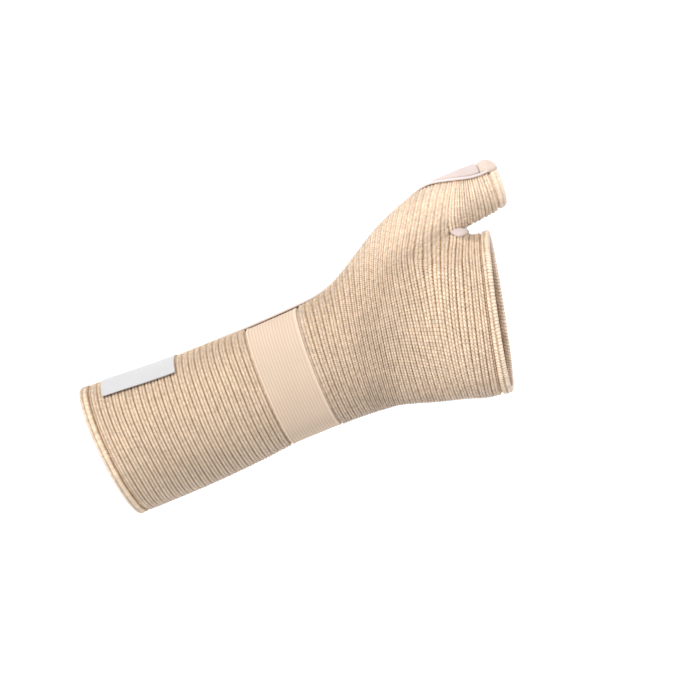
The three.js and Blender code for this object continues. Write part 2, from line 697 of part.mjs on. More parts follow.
function stayPocket() {
  const crown = (along, across) => lerp(POCKET_CROWN, POCKET_END_CROWN, along ** 3) * Math.sin(Math.PI * across);
  const over = (along, across) => UNDER_POCKET + POCKET_THICK + crown(along, across);
  return sheetOver(pocketRows(), () => UNDER_POCKET, over).mesh('stay_pocket', CLOTHS.pocket);
}

// The round edge sewn along the pocket.
function pocketPiping() {
  const radius = PIPING_DIAMETER / 2;
  const height = UNDER_POCKET + radius;
  const course = plainStations(POCKET_START, POCKET_END, POCKET_STEP).map(({ station }) =>
    besideThumb(station, pocketEdge(station) - radius, height));
  const path = new THREE.CatmullRomCurve3(course);
  const section = new THREE.Shape();
  section.absarc(0, 0, radius, 0, 2 * Math.PI);
  const geometry = new THREE.ExtrudeGeometry(section, {
    steps: PIPING_STEPS, bevelEnabled: false, extrudePath: path, curveSegments: PIPING_CURVE_SEGMENTS,
  });
  return named('pocket_piping', geometry, CLOTHS.pocket);
}

// The tab that closes the pocket over the thumb's edge.
function pocketTab() {
  const rows = plainStations(THUMB_EDGE - TAB_LENGTH, THUMB_EDGE, TAB_STEP).map(({ station }) => {
    const edge = pocketEdge(station);
    return { station, first: edge, last: edge - POCKET_WIDTH };
  });
  const under = HEM_SWELL + GAP;
  const over = (along, across) =>
    under + TAB_THICK + TAB_CROWN * Math.sin(Math.PI * along) * Math.sin(Math.PI * across);
  return sheetOver(rows, () => under, over).mesh('pocket_tab', CLOTHS.tab);
}

// The gusset over the web, from the thumb's side of the crotch to the palm's.
function webGusset() {
  const solid = new Solid();
  const columns = Array.from({ length: WEB_STEPS + 1 }, (unused, i) => i);
  const row = (loop, back, distance) => solid.ring(columns.map((i) => {
    const station = CROTCH_STATION + back;
    return surface(loop, webQ(loop, i), station).addScaledVector(webOutward(loop, i, station), distance);
  }));
  const face = (distance) => [
    row('thumb', GUSSET_REACH, distance),
    row('thumb', GUSSET_BEND, distance),
    solid.ring(columns.map((i) => webPoint(i, WEB_FILL * distance))),
    row('palm', GUSSET_BEND, distance),
    row('palm', GUSSET_REACH, distance),
  ];
  closeSheet(solid, face(OVER_RIBS + GUSSET_THICK), face(OVER_RIBS));
  return solid.mesh('web_gusset', CLOTHS.pocket);
}

// The label, sewn on past the thumb side's outline, with its long lower edge standing off the knit.
function label() {
  const rows = plainStations(LABEL_FROM_EDGE, LABEL_FROM_EDGE + LABEL_LENGTH, LABEL_STEP)
    .map(({ station }) => ({ station, first: LABEL_HEIGHT - LABEL_PAST_SIDE, last: -LABEL_PAST_SIDE }));
  const lift = (across) => LABEL_LIFT * (1 - smoothstep(across * LABEL_HEIGHT, 0, LABEL_HEIGHT - LABEL_SEWN));
  const under = (along, across) => OVER_RIBS + lift(across);
  const over = (along, across) => under(along, across) + LABEL_THICK;
  return sheetOver(rows, under, over).mesh('label', CLOTHS.label);
}

const support = new THREE.Group();
support.add(
  knitSleeve(),
  hem('forearm_hem', 'body', HEM_WIDTH, 0),
  hem('palm_hem', 'palm', PALM_EDGE - HEM_WIDTH, PALM_EDGE),
  hem('thumb_hem', 'thumb', THUMB_EDGE - HEM_WIDTH, THUMB_EDGE),
  wristStrap(),
  stayPocket(),
  pocketPiping(),
  pocketTab(),
  webGusset(),
  label(),
);

export default support;
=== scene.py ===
# The looks of a knitted wrist and thumb support, built round its solids.
import math

import bpy
import numpy as np
from mathutils import Matrix, Vector


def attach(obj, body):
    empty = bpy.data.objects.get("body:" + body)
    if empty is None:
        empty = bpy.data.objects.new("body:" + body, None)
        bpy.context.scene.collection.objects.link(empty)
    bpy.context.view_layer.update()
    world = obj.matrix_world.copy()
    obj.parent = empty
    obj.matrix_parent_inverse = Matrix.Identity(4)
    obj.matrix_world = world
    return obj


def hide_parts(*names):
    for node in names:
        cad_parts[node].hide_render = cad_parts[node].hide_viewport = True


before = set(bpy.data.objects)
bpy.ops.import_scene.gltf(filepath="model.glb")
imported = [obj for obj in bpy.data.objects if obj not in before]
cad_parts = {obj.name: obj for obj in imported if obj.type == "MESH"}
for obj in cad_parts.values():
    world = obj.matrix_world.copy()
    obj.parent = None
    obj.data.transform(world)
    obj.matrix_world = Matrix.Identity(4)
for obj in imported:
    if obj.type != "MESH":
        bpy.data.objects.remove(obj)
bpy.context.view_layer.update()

# Sizes of the support, in millimetres, as its solids have them
MM = 0.001
FOREARM = {"reach": 103, "width": 72, "depth": 58}
WRIST_WIDTH, WRIST_DEPTH = 63, 46.5
CROTCH_REACH, CROTCH_OFFSET = 105, 37.7
PALM_REACH, PALM_WIDTH, PALM_DEPTH, HAND_RISE = 124.8, 82, 33, 17
THUMB_REACH, THUMB_OFFSET, THUMB_WIDTH, THUMB_DEPTH, THUMB_DROP = 138, 51, 21.5, 22.5, 14
WEB_HALF_DEPTH, WEB_SLOPE, WEB_BULGE = 6.5, 5, 2.5
KNIT_WALL, RIB_PITCH, RIB_HEIGHT = 2.2, 3.5, 0.5
HEM_WIDTH, HEM_DEPTH, HEM_SWELL = 5.4, 3.1, 0.45
STRAP_OFFSET, STRAP_WIDTH, STRAP_THICK, STRAP_SINK = 1.5, 28, 1.3, 1.4
PRESS_INSIDE, PRESS_OUTSIDE, RIBS_FROM_STRAP = 0.5, 1.5, 1
POCKET_BEFORE_WRIST, POCKET_WIDTH, POCKET_THICK = 29, 20, 1.3
POCKET_CROWN, POCKET_END_CROWN = 0.3, 1.1
PIPING_DIAMETER, TAB_LENGTH, TAB_THICK, TAB_CROWN = 1.3, 9.6, 1.2, 2.2
GUSSET_THICK, WEB_FILL = 0.8, 1.8
LABEL_FROM_EDGE, LABEL_LENGTH, LABEL_HEIGHT = 12, 39, 24
LABEL_PAST_SIDE, LABEL_SEWN, LABEL_THICK, LABEL_LIFT = 3.5, 7.2, 0.5, 1.1
GAP, POCKET_EASE = 0.3, 0.27

HALF_COLUMNS, CROTCH_COLUMN, WEB_STEPS = 16, 10, 4
CROTCH_SHARE = CROTCH_COLUMN / HALF_COLUMNS
LOOP_COLUMNS = {
    "body": 2 * HALF_COLUMNS,
    "palm": 2 * CROTCH_COLUMN + WEB_STEPS,
    "thumb": 2 * (HALF_COLUMNS - CROTCH_COLUMN) + WEB_STEPS,
}
LOBE_FULLNESS, THUMB_BASE_HALF, WEB_SPREAD, CREASE_SPREAD, DROP_START = 0.85, 0.62, 0.12, 0.08, 0.2

# Sections of the sleeve, as shares of the sizes above
BODY_COLUMNS = (
    "reach width depth ulnar_x radial_x ulnar_y radial_y palm_z thumb_z dorsal volar bow lobes lean"
).split()
ARM = (FOREARM["reach"], FOREARM["width"], FOREARM["depth"])
WRIST = (WRIST_WIDTH, WRIST_DEPTH)
PALM = (CROTCH_REACH, PALM_WIDTH, PALM_DEPTH)
BODY_ROWS = [
    dict(zip(BODY_COLUMNS, row))
    for row in (
        (*ARM, -0.981, -1.02, -0.485, 0.51, 0, 0, 0.483, 0.517, 0, 0, 2.5),
        (*ARM, -0.592, -0.592, -0.482, 0.468, 0, 0, 0.466, 0.491, 0, 0, 2),
        (*ARM, -0.291, -0.291, -0.461, 0.46, 0, 0, 0.428, 0.452, 0, 0, 1),
        (FOREARM["reach"], *WRIST, -0.13, -0.13, -0.504, 0.51, 0, 0, 0.49, 0.523, 0, 0, 0),
        (CROTCH_REACH, *WRIST, 0.133, 0.145, -0.503, 0.518, 0.01, 0, 0.473, 0.527, 0, 0, 1),
        (CROTCH_REACH, *WRIST, 0.224, 0.271, -0.505, 0.538, 0.025, 0, 0.462, 0.546, 0, 0, 1),
        (*PALM, 0.305, 0.381, -0.394, 0.461, 0.06, 0, 0.636, 0.788, 0, 0, 2),
        (*PALM, 0.383, 0.536, -0.402, 0.575, 0.11, -0.02, 0.62, 0.76, 0, 0.15, 2),
        (*PALM, 0.468, 0.697, -0.417, 0.686, 0.17, -0.05, 0.6, 0.72, 0, 0.4, 3),
        (*PALM, 0.64, 0.918, -0.485, 0.779, 0.28, -0.12, 0.56, 0.62, -0.02, 0.72, 3),
        (*PALM, 0.795, 1.124, -0.541, 0.785, 0.38, -0.22, 0.54, 0.54, -0.04, 1, 3),
    )
]
PALM_COLUMNS = "ulnar_x radial_x ulnar_y radial_y ulnar_z radial_z half lean parting".split()
PALM_ROWS = [
    dict(zip(PALM_COLUMNS, row))
    for row in (
        (0.744, 0.926, -0.577, 0.4, 0.95, 0.58, 0.55, 3, 0.9),
        (0.848, 1.003, -0.6, 0.384, 1.02, 0.88, 0.495, 3, 0.84),
    )
]
THUMB_COLUMNS = "ulnar_x radial_x ulnar_y radial_y drop half lean parting".split()
THUMB_ROWS = [
    dict(zip(THUMB_COLUMNS, row))
    for row in (
        (0.866, 0.903, -0.57, 0.605, 0.66, 0.585, -10, 0.85),
        (0.94, 0.95, -0.52, 0.585, 0.86, 0.53, -12, 0.79),
        (0.992, 1.004, -0.46, 0.49, 1, 0.5, -12, 0.75),
    )
]
POCKET_EDGE_PLACE = (0, 0.1, 0.28, 0.4, 0.52, 0.63, 0.7, 0.75, 0.81, 0.88, 0.95, 1)
POCKET_EDGE_OFFSET = (-0.3, -0.1, -0.06, -0.25, -0.42, -0.32, -0.06, 0.22, 0.48, 0.57, 0.56, 0.39)

# How late the thumb parts from the palm on the dorsal side, where the cloth is pulled flat, and how widely
DORSAL_PARTING, DORSAL_SPREAD = 6, 0.2


def lerp(a, b, t):
    return a + (b - a) * t


def smoothstep(x, low, high):
    t = np.clip((x - low) / (high - low), 0, 1)
    return t * t * (3 - 2 * t)


def unit(v):
    return v / np.maximum(np.linalg.norm(v, axis=-1, keepdims=True), 1e-12)


def points(x, y, z):
    return np.stack(np.broadcast_arrays(x, y, z), axis=-1)


# Where columns of a loop lie: side, share of the half section, and place on the web or NaN
def columns_at(loop, q):
    count = LOOP_COLUMNS[loop]
    at = np.mod(np.asarray(q, float), count)
    web = np.full(at.shape, np.nan)
    if loop == "body":
        side = np.where(at <= HALF_COLUMNS, 1.0, -1.0)
        share = np.where(at <= HALF_COLUMNS, at, count - at) / HALF_COLUMNS
    elif loop == "palm":
        on_web = (at > CROTCH_COLUMN) & (at < CROTCH_COLUMN + WEB_STEPS)
        web[on_web] = (at[on_web] - CROTCH_COLUMN) / WEB_STEPS
        side = np.where(at <= CROTCH_COLUMN, 1.0, -1.0)
        share = np.where(at <= CROTCH_COLUMN, at, count - at) / HALF_COLUMNS
    else:
        across = 2 * (HALF_COLUMNS - CROTCH_COLUMN)
        on_web = at > across
        web[on_web] = 1 - (at[on_web] - across) / WEB_STEPS
        side = np.where(at <= across / 2, 1.0, -1.0)
        share = np.where(at <= across / 2, CROTCH_COLUMN + at, CROTCH_COLUMN + across - at) / HALF_COLUMNS
    return side, share, web


def shared_point(row, side, share):
    in_palm = share <= CROTCH_SHARE
    turn = np.where(
        in_palm,
        math.pi * share / CROTCH_SHARE,
        math.pi * (share - CROTCH_SHARE) / (1 - CROTCH_SHARE),
    )
    last = BODY_ROWS[-1]
    crotch = (CROTCH_OFFSET - last["ulnar_y"] * last["width"]) / (
        (last["radial_y"] - last["ulnar_y"]) * last["width"]
    )
    crotch_w = 2 * crotch - 1
    step = (1 - np.cos(turn)) / 2
    lobe_w = np.where(in_palm, lerp(-1, crotch_w, step), lerp(crotch_w, 1, step))
    w = lerp(-np.cos(math.pi * share), lobe_w, row["lobes"])
    half = np.where(side > 0, row["dorsal"], row["volar"]) * row["depth"]
    fullness = lerp(1, LOBE_FULLNESS, row["lobes"])
    whole = np.maximum(np.sin(math.pi * share), 0) ** fullness
    swing = np.abs(np.sin(turn))
    lobe_half = np.where(
        in_palm,
        swing**fullness * half,
        swing * lerp(half, THUMB_BASE_HALF * THUMB_DEPTH, row["lobes"]),
    )
    near = np.exp(-(((share - CROTCH_SHARE) / WEB_SPREAD) ** 2))
    wide = np.exp(-(((share - CROTCH_SHARE) / DORSAL_SPREAD) ** 2))
    lobed = np.hypot(lobe_half, WEB_HALF_DEPTH * np.where(side > 0, wide, near))
    parted = np.where(side > 0, row["lobes"] ** DORSAL_PARTING, row["lobes"] ** 2)
    height = side * lerp(whole * half, lobed, parted)
    middle_z = lerp(row["palm_z"], row["thumb_z"], smoothstep(w, DROP_START, 1)) * row["depth"]
    run = np.where(side < 0, WEB_SLOPE * near * row["lobes"] ** 4, 0)
    x = lerp(row["ulnar_x"], row["radial_x"], (w + 1) / 2) * row["reach"]
    x = x + row["bow"] * row["reach"] * (1 - w * w) + run
    y = lerp(row["ulnar_y"], row["radial_y"], (w + 1) / 2) * row["width"]
    return points(x - height * math.tan(math.radians(row["lean"])), y, middle_z + height)


def body_point(row, side, share, web):
    made = shared_point(row, side, share)
    on_web = ~np.isnan(web)
    if on_web.any():
        here = web[on_web][:, None]
        one = np.ones(on_web.sum())
        back = shared_point(row, one, one * CROTCH_SHARE)
        front = shared_point(row, -one, one * CROTCH_SHARE)
        made[on_web] = lerp(back, front, here)
        made[on_web, 0] += WEB_BULGE * np.sin(math.pi * web[on_web])
    return made


def palm_point(row, side, share, web):
    parting = row["parting"]
    turn = np.where(
        np.isnan(web),
        math.pi * side * parting * share / CROTCH_SHARE,
        math.pi * lerp(parting, 2 - parting, web),
    )
    across = (1 - np.cos(turn)) / 2
    height = np.sign(np.sin(turn)) * np.abs(np.sin(turn)) ** LOBE_FULLNESS * row["half"] * PALM_DEPTH
    return points(
        lerp(row["ulnar_x"], row["radial_x"], across) * PALM_REACH
        - height * math.tan(math.radians(row["lean"])),
        lerp(row["ulnar_y"], row["radial_y"], across) * PALM_WIDTH,
        lerp(row["ulnar_z"], row["radial_z"], across) * HAND_RISE + height,
    )


def thumb_point(row, side, share, web):
    parting = row["parting"]
    turn = np.where(
        np.isnan(web),
        math.pi * side * lerp(1 - parting, 1, (share - CROTCH_SHARE) / (1 - CROTCH_SHARE)),
        math.pi * lerp(1 - parting, parting - 1, web),
    )
    across = (1 - np.cos(turn)) / 2
    height = np.sin(turn) * row["half"] * THUMB_DEPTH
    return points(
        lerp(row["ulnar_x"], row["radial_x"], across) * THUMB_REACH
        - height * math.tan(math.radians(row["lean"])),
        THUMB_OFFSET + lerp(row["ulnar_y"], row["radial_y"], across) * THUMB_WIDTH,
        height - row["drop"] * THUMB_DROP,
    )


# Stations: distances of the sections along the sleeve, through their middles
LITTLE, THUMB_SIDE, CROTCH = (1.0, 0.0), (1.0, 1.0), (1.0, CROTCH_SHARE)


def middle_of(point, row, *places):
    made = [
        point(row, np.array([side]), np.array([share]), np.array([web]))[0]
        for side, share, web in places
    ]
    return np.mean(made, axis=0)


def run_along(path):
    """The distance along a path at each of its points."""
    return np.concatenate([[0], np.cumsum(np.linalg.norm(np.diff(path, axis=0), axis=1))])


def add_up(start, middles):
    return start + run_along(middles)[1:]


NAN = float("nan")
BODY_MIDDLES = np.array([middle_of(body_point, r, (*LITTLE, NAN), (*THUMB_SIDE, NAN)) for r in BODY_ROWS])
BODY_STATIONS = run_along(BODY_MIDDLES)
CROTCH_STATION = BODY_STATIONS[-1]
PALM_STATIONS = add_up(
    CROTCH_STATION,
    [middle_of(body_point, BODY_ROWS[-1], (*LITTLE, NAN), (*CROTCH, NAN))]
    + [middle_of(palm_point, r, (*LITTLE, NAN), (1, 0, 0.5)) for r in PALM_ROWS],
)
THUMB_STATIONS = add_up(
    CROTCH_STATION,
    [middle_of(body_point, BODY_ROWS[-1], (*CROTCH, NAN), (*THUMB_SIDE, NAN))]
    + [middle_of(thumb_point, r, (*THUMB_SIDE, NAN), (1, 0, 0.5)) for r in THUMB_ROWS],
)
PALM_EDGE, THUMB_EDGE = PALM_STATIONS[-1], THUMB_STATIONS[-1]
after = int(np.argmax(BODY_MIDDLES[:, 0] > 0))
WRIST_STATION = np.interp(0, BODY_MIDDLES[after - 1 : after + 1, 0], BODY_STATIONS[after - 1 : after + 1])
STRAP_MIDDLE = WRIST_STATION + STRAP_OFFSET
STRAP_START, STRAP_END = STRAP_MIDDLE - STRAP_WIDTH / 2, STRAP_MIDDLE + STRAP_WIDTH / 2
POCKET_START = WRIST_STATION - POCKET_BEFORE_WRIST
POCKET_END = THUMB_EDGE - TAB_LENGTH - GAP
KNIT_START = HEM_WIDTH + GAP
PALM_KNIT_END, THUMB_KNIT_END = PALM_EDGE - HEM_WIDTH - GAP, THUMB_EDGE - HEM_WIDTH - GAP


def course(branch, side, share, web, on_web, station):
    """Points of columns of one branch at stations (rings, columns)."""
    rows, point, later = PALM_ROWS, palm_point, PALM_STATIONS
    if branch == "thumb":
        rows, point, later = THUMB_ROWS, thumb_point, THUMB_STATIONS
    shared = BODY_ROWS[-1:] if on_web else BODY_ROWS
    knots = [body_point(r, side, share, web) for r in shared] + [point(r, side, share, web) for r in rows]
    knots = np.stack(knots, axis=1)
    at = np.concatenate([BODY_STATIONS[-len(shared) :], later])
    last = len(at) - 1
    low, high = np.maximum(np.arange(last + 1) - 1, 0), np.minimum(np.arange(last + 1) + 1, last)
    slope = (knots[:, high] - knots[:, low]) / (at[high] - at[low])[None, :, None]
    before, following = slope.copy(), slope.copy()
    if not on_web:
        joint = len(shared) - 1
        near = np.exp(-(((share - CROTCH_SHARE) / CREASE_SPREAD) ** 2))[:, None]
        for kept, first in ((before, joint - 1), (following, joint)):
            step = (knots[:, first + 1] - knots[:, first]) / (at[first + 1] - at[first])
            kept[:, joint] = lerp(slope[:, joint], step, near)
    i = np.clip(np.searchsorted(at, station, side="left") - 1, 0, last - 1)
    span = at[i + 1] - at[i]
    t = ((station - at[i]) / span)[..., None]
    c = np.broadcast_to(np.arange(len(side)), station.shape)
    return (
        knots[c, i] * (2 * t**3 - 3 * t**2 + 1)
        + following[c, i] * span[..., None] * (t**3 - 2 * t**2 + t)
        + knots[c, i + 1] * (3 * t**2 - 2 * t**3)
        + before[c, i + 1] * span[..., None] * (t**3 - t**2)
    )


def surface(loop, q, station):
    """The knit's outer surface at columns q (n) and stations (rings, n)."""
    q = np.asarray(q, float)
    station = np.broadcast_to(station, (np.shape(station)[0], len(q)))
    side, share, web = columns_at(loop, q)
    on_web = ~np.isnan(web)
    is_thumb = np.full(q.shape, loop == "thumb") | ((loop == "body") & (share > CROTCH_SHARE))
    made = np.zeros((*station.shape, 3))
    for branch, thumbs in (("palm", False), ("thumb", True)):
        for webbed in (False, True):
            pick = (is_thumb == thumbs) & (on_web == webbed)
            if pick.any():
                made[:, pick] = course(branch, side[pick], share[pick], web[pick], webbed, station[:, pick])
    return made


COLUMN_STEP, STATION_STEP = 0.05, 0.4
ENDS = {
    "body": (0, CROTCH_STATION),
    "palm": (CROTCH_STATION, PALM_EDGE),
    "thumb": (CROTCH_STATION, THUMB_EDGE),
}


def outward(loop, q, station):
    q = np.asarray(q, float)
    station = np.broadcast_to(station, (np.shape(station)[0], len(q)))
    first, last = ENDS[loop]
    on_web = ~np.isnan(columns_at(loop, q)[2])
    low = np.maximum(station - STATION_STEP, np.where(on_web, first, 0))
    high = np.minimum(station + STATION_STEP, last)
    along = surface(loop, q, high) - surface(loop, q, low)
    around = surface(loop, q + COLUMN_STEP, station) - surface(loop, q - COLUMN_STEP, station)
    return unit(np.cross(along, around))


def pressed_in(station):
    from_edge = np.abs(station - STRAP_MIDDLE) - STRAP_WIDTH / 2
    return -STRAP_SINK * (1 - smoothstep(from_edge, -PRESS_INSIDE, PRESS_OUTSIDE))


# Smooth made-up noise from a few waves, the same on every run
def waves(seed, *coordinates, count=6):
    rng = np.random.default_rng(seed)
    total = 0
    for _ in range(count):
        turn = rng.normal(size=len(coordinates))
        phase = rng.uniform(0, 2 * math.pi)
        total = total + np.sin(sum(t * c for t, c in zip(turn, coordinates)) + phase)
    return total / math.sqrt(count)


# Meshes


def vertex_normals(verts, quads):
    """Normals by the size of the faces round each vertex."""
    a, b, c, d = (verts[quads[:, i]] for i in range(4))
    face = np.cross(c - a, d - b)
    made = np.zeros_like(verts)
    for i in range(4):
        for axis in range(3):
            made[:, axis] += np.bincount(quads[:, i], face[:, axis], len(verts))
    return unit(made)


def piece(name, verts, faces, uvs, material, normals=None):
    """A mesh object from points in millimetres, faces as lists of equal length, and a UV for each corner."""
    mesh = bpy.data.meshes.new(name)
    sizes = np.concatenate([np.full(len(f), f.shape[1]) for f in faces])
    corners = np.concatenate([f.ravel() for f in faces])
    mesh.vertices.add(len(verts))
    mesh.vertices.foreach_set("co", (verts * MM).astype(np.float32).ravel())
    mesh.loops.add(len(corners))
    mesh.loops.foreach_set("vertex_index", corners.astype(np.int32))
    mesh.polygons.add(len(sizes))
    mesh.polygons.foreach_set("loop_start", np.concatenate([[0], np.cumsum(sizes)[:-1]]).astype(np.int32))
    mesh.polygons.foreach_set("use_smooth", np.ones(len(sizes), bool))
    layer = mesh.uv_layers.new(name="cloth")
    layer.uv.foreach_set("vector", np.concatenate([u.reshape(-1, 2) for u in uvs]).astype(np.float32).ravel())
    mesh.update(calc_edges=True)
    mesh.validate()
    if normals is not None:
        mesh.normals_split_custom_set_from_vertices(normals.astype(np.float32).tolist())
    mesh.materials.append(material)
    made = bpy.data.objects.new(name, mesh)
    bpy.context.scene.collection.objects.link(made)
    return made


def cells(grid):
    """The four corners of each cell of a grid, in order round it."""
    return np.stack([grid[:-1, :-1], grid[1:, :-1], grid[1:, 1:], grid[:-1, 1:]], axis=2)


def grid_faces(index, u, v):
    """Quads of a closed grid of vertex numbers (rings, columns), and their corners' UVs."""
    index = np.concatenate([index, index[:, :1]], axis=1)
    uv = np.stack(np.broadcast_arrays(u[None, :], v[:, None]), axis=-1)
    return cells(index).reshape(-1, 4), cells(uv).reshape(-1, 4, 2)


# Materials

# Width of one woven line of the strap, in millimetres
STRAP_LINE = 1.6

# How much more painted shade takes from green and blue than from red, and the darkest colour left
PAINTED_SHADE_LOSS = (0.93, 1.12, 1.36)
DARKEST = (0.02, 0.012, 0.007)

# Painted light on the thumb side: the knit is lighter and its painted shade weaker, from one height on +Y to
# another, in metres
PAINTED_LIGHT_FROM_TO = (0.03, 0.055)
PAINTED_LIGHT_LIFT, PAINTED_LIGHT_SHADE_CHANGE = 0.1, -0.4

# Painted shade in the knit's grooves and between its stitches, how far the tone varies at random, and how far
# one leg of a stitch slants
GROOVE_PAINTED_SHADE, SMALL_GROOVE_PAINTED_SHADE, GAP_PAINTED_SHADE = 0.55, 0.38, 0.38
SPECK, BLOTCH, WOVEN_BLOTCH, GRAIN = 0.18, 0.14, 0.1, 0.5
LEG_SLANT = 0.45

# Noise scales, from fine fibres to wide blotches
KNIT_FIBRE, WOVEN_FIBRE, GRAIN_SCALE = 2600, 3000, 850
KNIT_BLOTCHES, WOVEN_BLOTCHES = 55, 60


class Nodes:
    """Short names for building a node tree."""

    def __init__(self, name):
        self.material = bpy.data.materials.new(name)
        self.material.use_nodes = True
        self.tree = self.material.node_tree
        self.shader = self.tree.nodes["Principled BSDF"]

    def node(self, kind, **settings):
        made = self.tree.nodes.new(kind)
        for key, value in settings.items():
            setattr(made, key, value)
        return made

    def put(self, value, socket):
        if isinstance(value, bpy.types.NodeSocket):
            self.tree.links.new(value, socket)
        else:
            socket.default_value = value

    def filled(self, made, *values):
        """The first output of a node whose first inputs get the values."""
        for value, socket in zip(values, made.inputs):
            self.put(value, socket)
        return made.outputs[0]

    def math(self, operation, *values, clamp=False):
        return self.filled(self.node("ShaderNodeMath", operation=operation, use_clamp=clamp), *values)

    def vector(self, operation, *values):
        return self.filled(self.node("ShaderNodeVectorMath", operation=operation), *values)

    def plus(self, first, *others):
        for other in others:
            first = self.math("ADD", first, other)
        return first

    def times(self, first, second):
        return self.math("MULTIPLY", first, second)

    def varied(self, value, by):
        """A value from 0 to 1, spread round 0 instead."""
        return self.math("MULTIPLY_ADD", value, by, -by / 2)

    def ramp(self, value, low, high, to_low=0.0, to_high=1.0):
        made = self.node("ShaderNodeMapRange", interpolation_type="SMOOTHSTEP")
        names = ("Value", "From Min", "From Max", "To Min", "To Max")
        for name, given in zip(names, (value, low, high, to_low, to_high)):
            self.put(given, made.inputs[name])
        return made.outputs[0]

    def split(self, vector):
        made = self.node("ShaderNodeSeparateXYZ")
        self.put(vector, made.inputs[0])
        return made.outputs

    def uv(self):
        return self.split(self.node("ShaderNodeUVMap", uv_map="cloth").outputs[0])[:2]

    def place(self):
        return self.node("ShaderNodeTexCoord").outputs["Object"]

    def noise(self, scale, detail):
        made = self.node("ShaderNodeTexNoise")
        self.put(self.place(), made.inputs["Vector"])
        made.inputs["Scale"].default_value = scale
        made.inputs["Detail"].default_value = detail
        return made.outputs[0]

    def cell(self, u, v):
        """A random value for each whole step of u and v."""
        joined = self.node("ShaderNodeCombineXYZ")
        made = self.node("ShaderNodeTexWhiteNoise", noise_dimensions="2D")
        self.put(self.filled(joined, self.math("FLOOR", u), self.math("FLOOR", v)), made.inputs["Vector"])
        return made.outputs[0]

    def scaled(self, vector, scale):
        made = self.node("ShaderNodeVectorMath", operation="SCALE")
        made.inputs[0].default_value = vector
        self.put(scale, made.inputs["Scale"])
        return made.outputs[0]

    def colour(self, base, shade, painted_shade):
        """The base colour times a shade, less a warm share of it where shade is painted."""
        # The loss is painted shade, warmer than the base colour
        loss = self.scaled([b * w for b, w in zip(base, PAINTED_SHADE_LOSS)], painted_shade)
        mixed = self.vector("SUBTRACT", self.scaled(base, shade), loss)
        self.put(self.vector("MAXIMUM", mixed, DARKEST), self.shader.inputs["Base Color"])

    def bump(self, height, distance, strength):
        made = self.node("ShaderNodeBump")
        made.inputs["Distance"].default_value = distance
        made.inputs["Strength"].default_value = strength
        self.put(height, made.inputs["Height"])
        self.put(made.outputs[0], self.shader.inputs["Normal"])

    def cloth(self, roughness, sheen):
        self.shader.inputs["Roughness"].default_value = roughness
        self.shader.inputs["Sheen Weight"].default_value = sheen
        self.shader.inputs["Sheen Roughness"].default_value = 0.5
        self.shader.inputs["Specular IOR Level"].default_value = 0.25
        return self.material


def knit_material(name, base, contrast=1.0):
    """Rib knit: u counts stitches along a wale and v counts wales, with a deep groove at each even v."""
    n = Nodes(name)
    u, v = n.uv()
    edge = n.math("ABSOLUTE", n.math("MULTIPLY_ADD", n.math("FRACT", v), 2.0, -1.0))
    along = n.plus(u, n.times(n.math("PINGPONG", n.math("FLOOR", v), 1.0), 0.5))
    leg = n.math("FRACT", n.math("MULTIPLY_ADD", edge, LEG_SLANT, along))
    yarn = n.math("SINE", n.times(leg, math.pi))
    cord = n.math("SQRT", n.math("SUBTRACT", 1.0, n.times(edge, edge), clamp=True))
    fibre = n.noise(KNIT_FIBRE, 3.0)
    n.bump(n.plus(n.times(n.times(yarn, cord), 0.8), n.times(fibre, 0.35)), 0.0004, 0.8)
    # Painted shade: the grooves between the ribs and the gaps between the stitches are darkened in colour
    from_main = n.math("PINGPONG", v, 1.0)
    groove = n.ramp(n.math("SUBTRACT", 1.0, from_main), 0.62, 1.0, 0.0, contrast * GROOVE_PAINTED_SHADE)
    small = n.ramp(from_main, 0.7, 1.0, 0.0, contrast * SMALL_GROOVE_PAINTED_SHADE)
    gap = n.ramp(yarn, 0.0, 0.65, contrast * GAP_PAINTED_SHADE, 0.0)
    speck = n.varied(n.cell(along, v), contrast * SPECK)
    blotch = n.varied(n.noise(KNIT_BLOTCHES, 3.0), BLOTCH)
    grain = n.varied(n.noise(GRAIN_SCALE, 1.0), contrast * GRAIN)
    # Painted light: the thumb side is made lighter, and the painted shade weaker there
    pale = n.ramp(n.split(n.place())[1], *PAINTED_LIGHT_FROM_TO)
    shade = n.plus(1.0, n.plus(speck, blotch, grain, n.times(pale, PAINTED_LIGHT_LIFT)))
    painted_shade = n.times(n.plus(groove, small, gap), n.math("MULTIPLY_ADD", pale, PAINTED_LIGHT_SHADE_CHANGE, 1.0))
    n.colour(base, shade, painted_shade)
    return n.cloth(0.9, 0.25)


def woven_material(name, base, line_painted_shade, thread, bump, roughness, sheen, width=None):
    """Smooth weave: u and v count threads, with a line of painted shade along u at each whole v.

    Where a width is given, a painted highlight brightens the edges at 0 and at that width.
    """
    n = Nodes(name)
    u, v = n.uv()
    # Painted shade: a dark line at each whole v, as in a groove of the weave
    line = n.ramp(n.math("PINGPONG", v, 0.5), 0.0, 0.22, line_painted_shade, 0.0)
    over, under = (n.math("SINE", n.times(way, 2 * math.pi * thread)) for way in (u, v))
    weave = n.times(over, under)
    n.bump(n.plus(n.times(weave, 0.5), n.times(n.noise(WOVEN_FIBRE, 3.0), 0.5)), bump, 0.7)
    shade = n.plus(1.0, n.varied(n.noise(WOVEN_BLOTCHES, 3.0), WOVEN_BLOTCH), n.times(weave, 0.03))
    if width:
        inside = n.math("MINIMUM", v, n.math("SUBTRACT", width, v))
        # Painted highlight on the raised edges, where the painted line shade also fades
        shade = n.plus(shade, n.ramp(inside, 0.45, 0.75, 0.16, 0.0))
        line = n.times(line, n.ramp(inside, 0.5, 0.9))
    n.colour(base, shade, line)
    return n.cloth(roughness, sheen)


knit_cloth = knit_material("rib_knit", (0.98, 0.785, 0.6))
hem_cloth = knit_material("folded_knit", (0.95, 0.77, 0.6), 0.85)
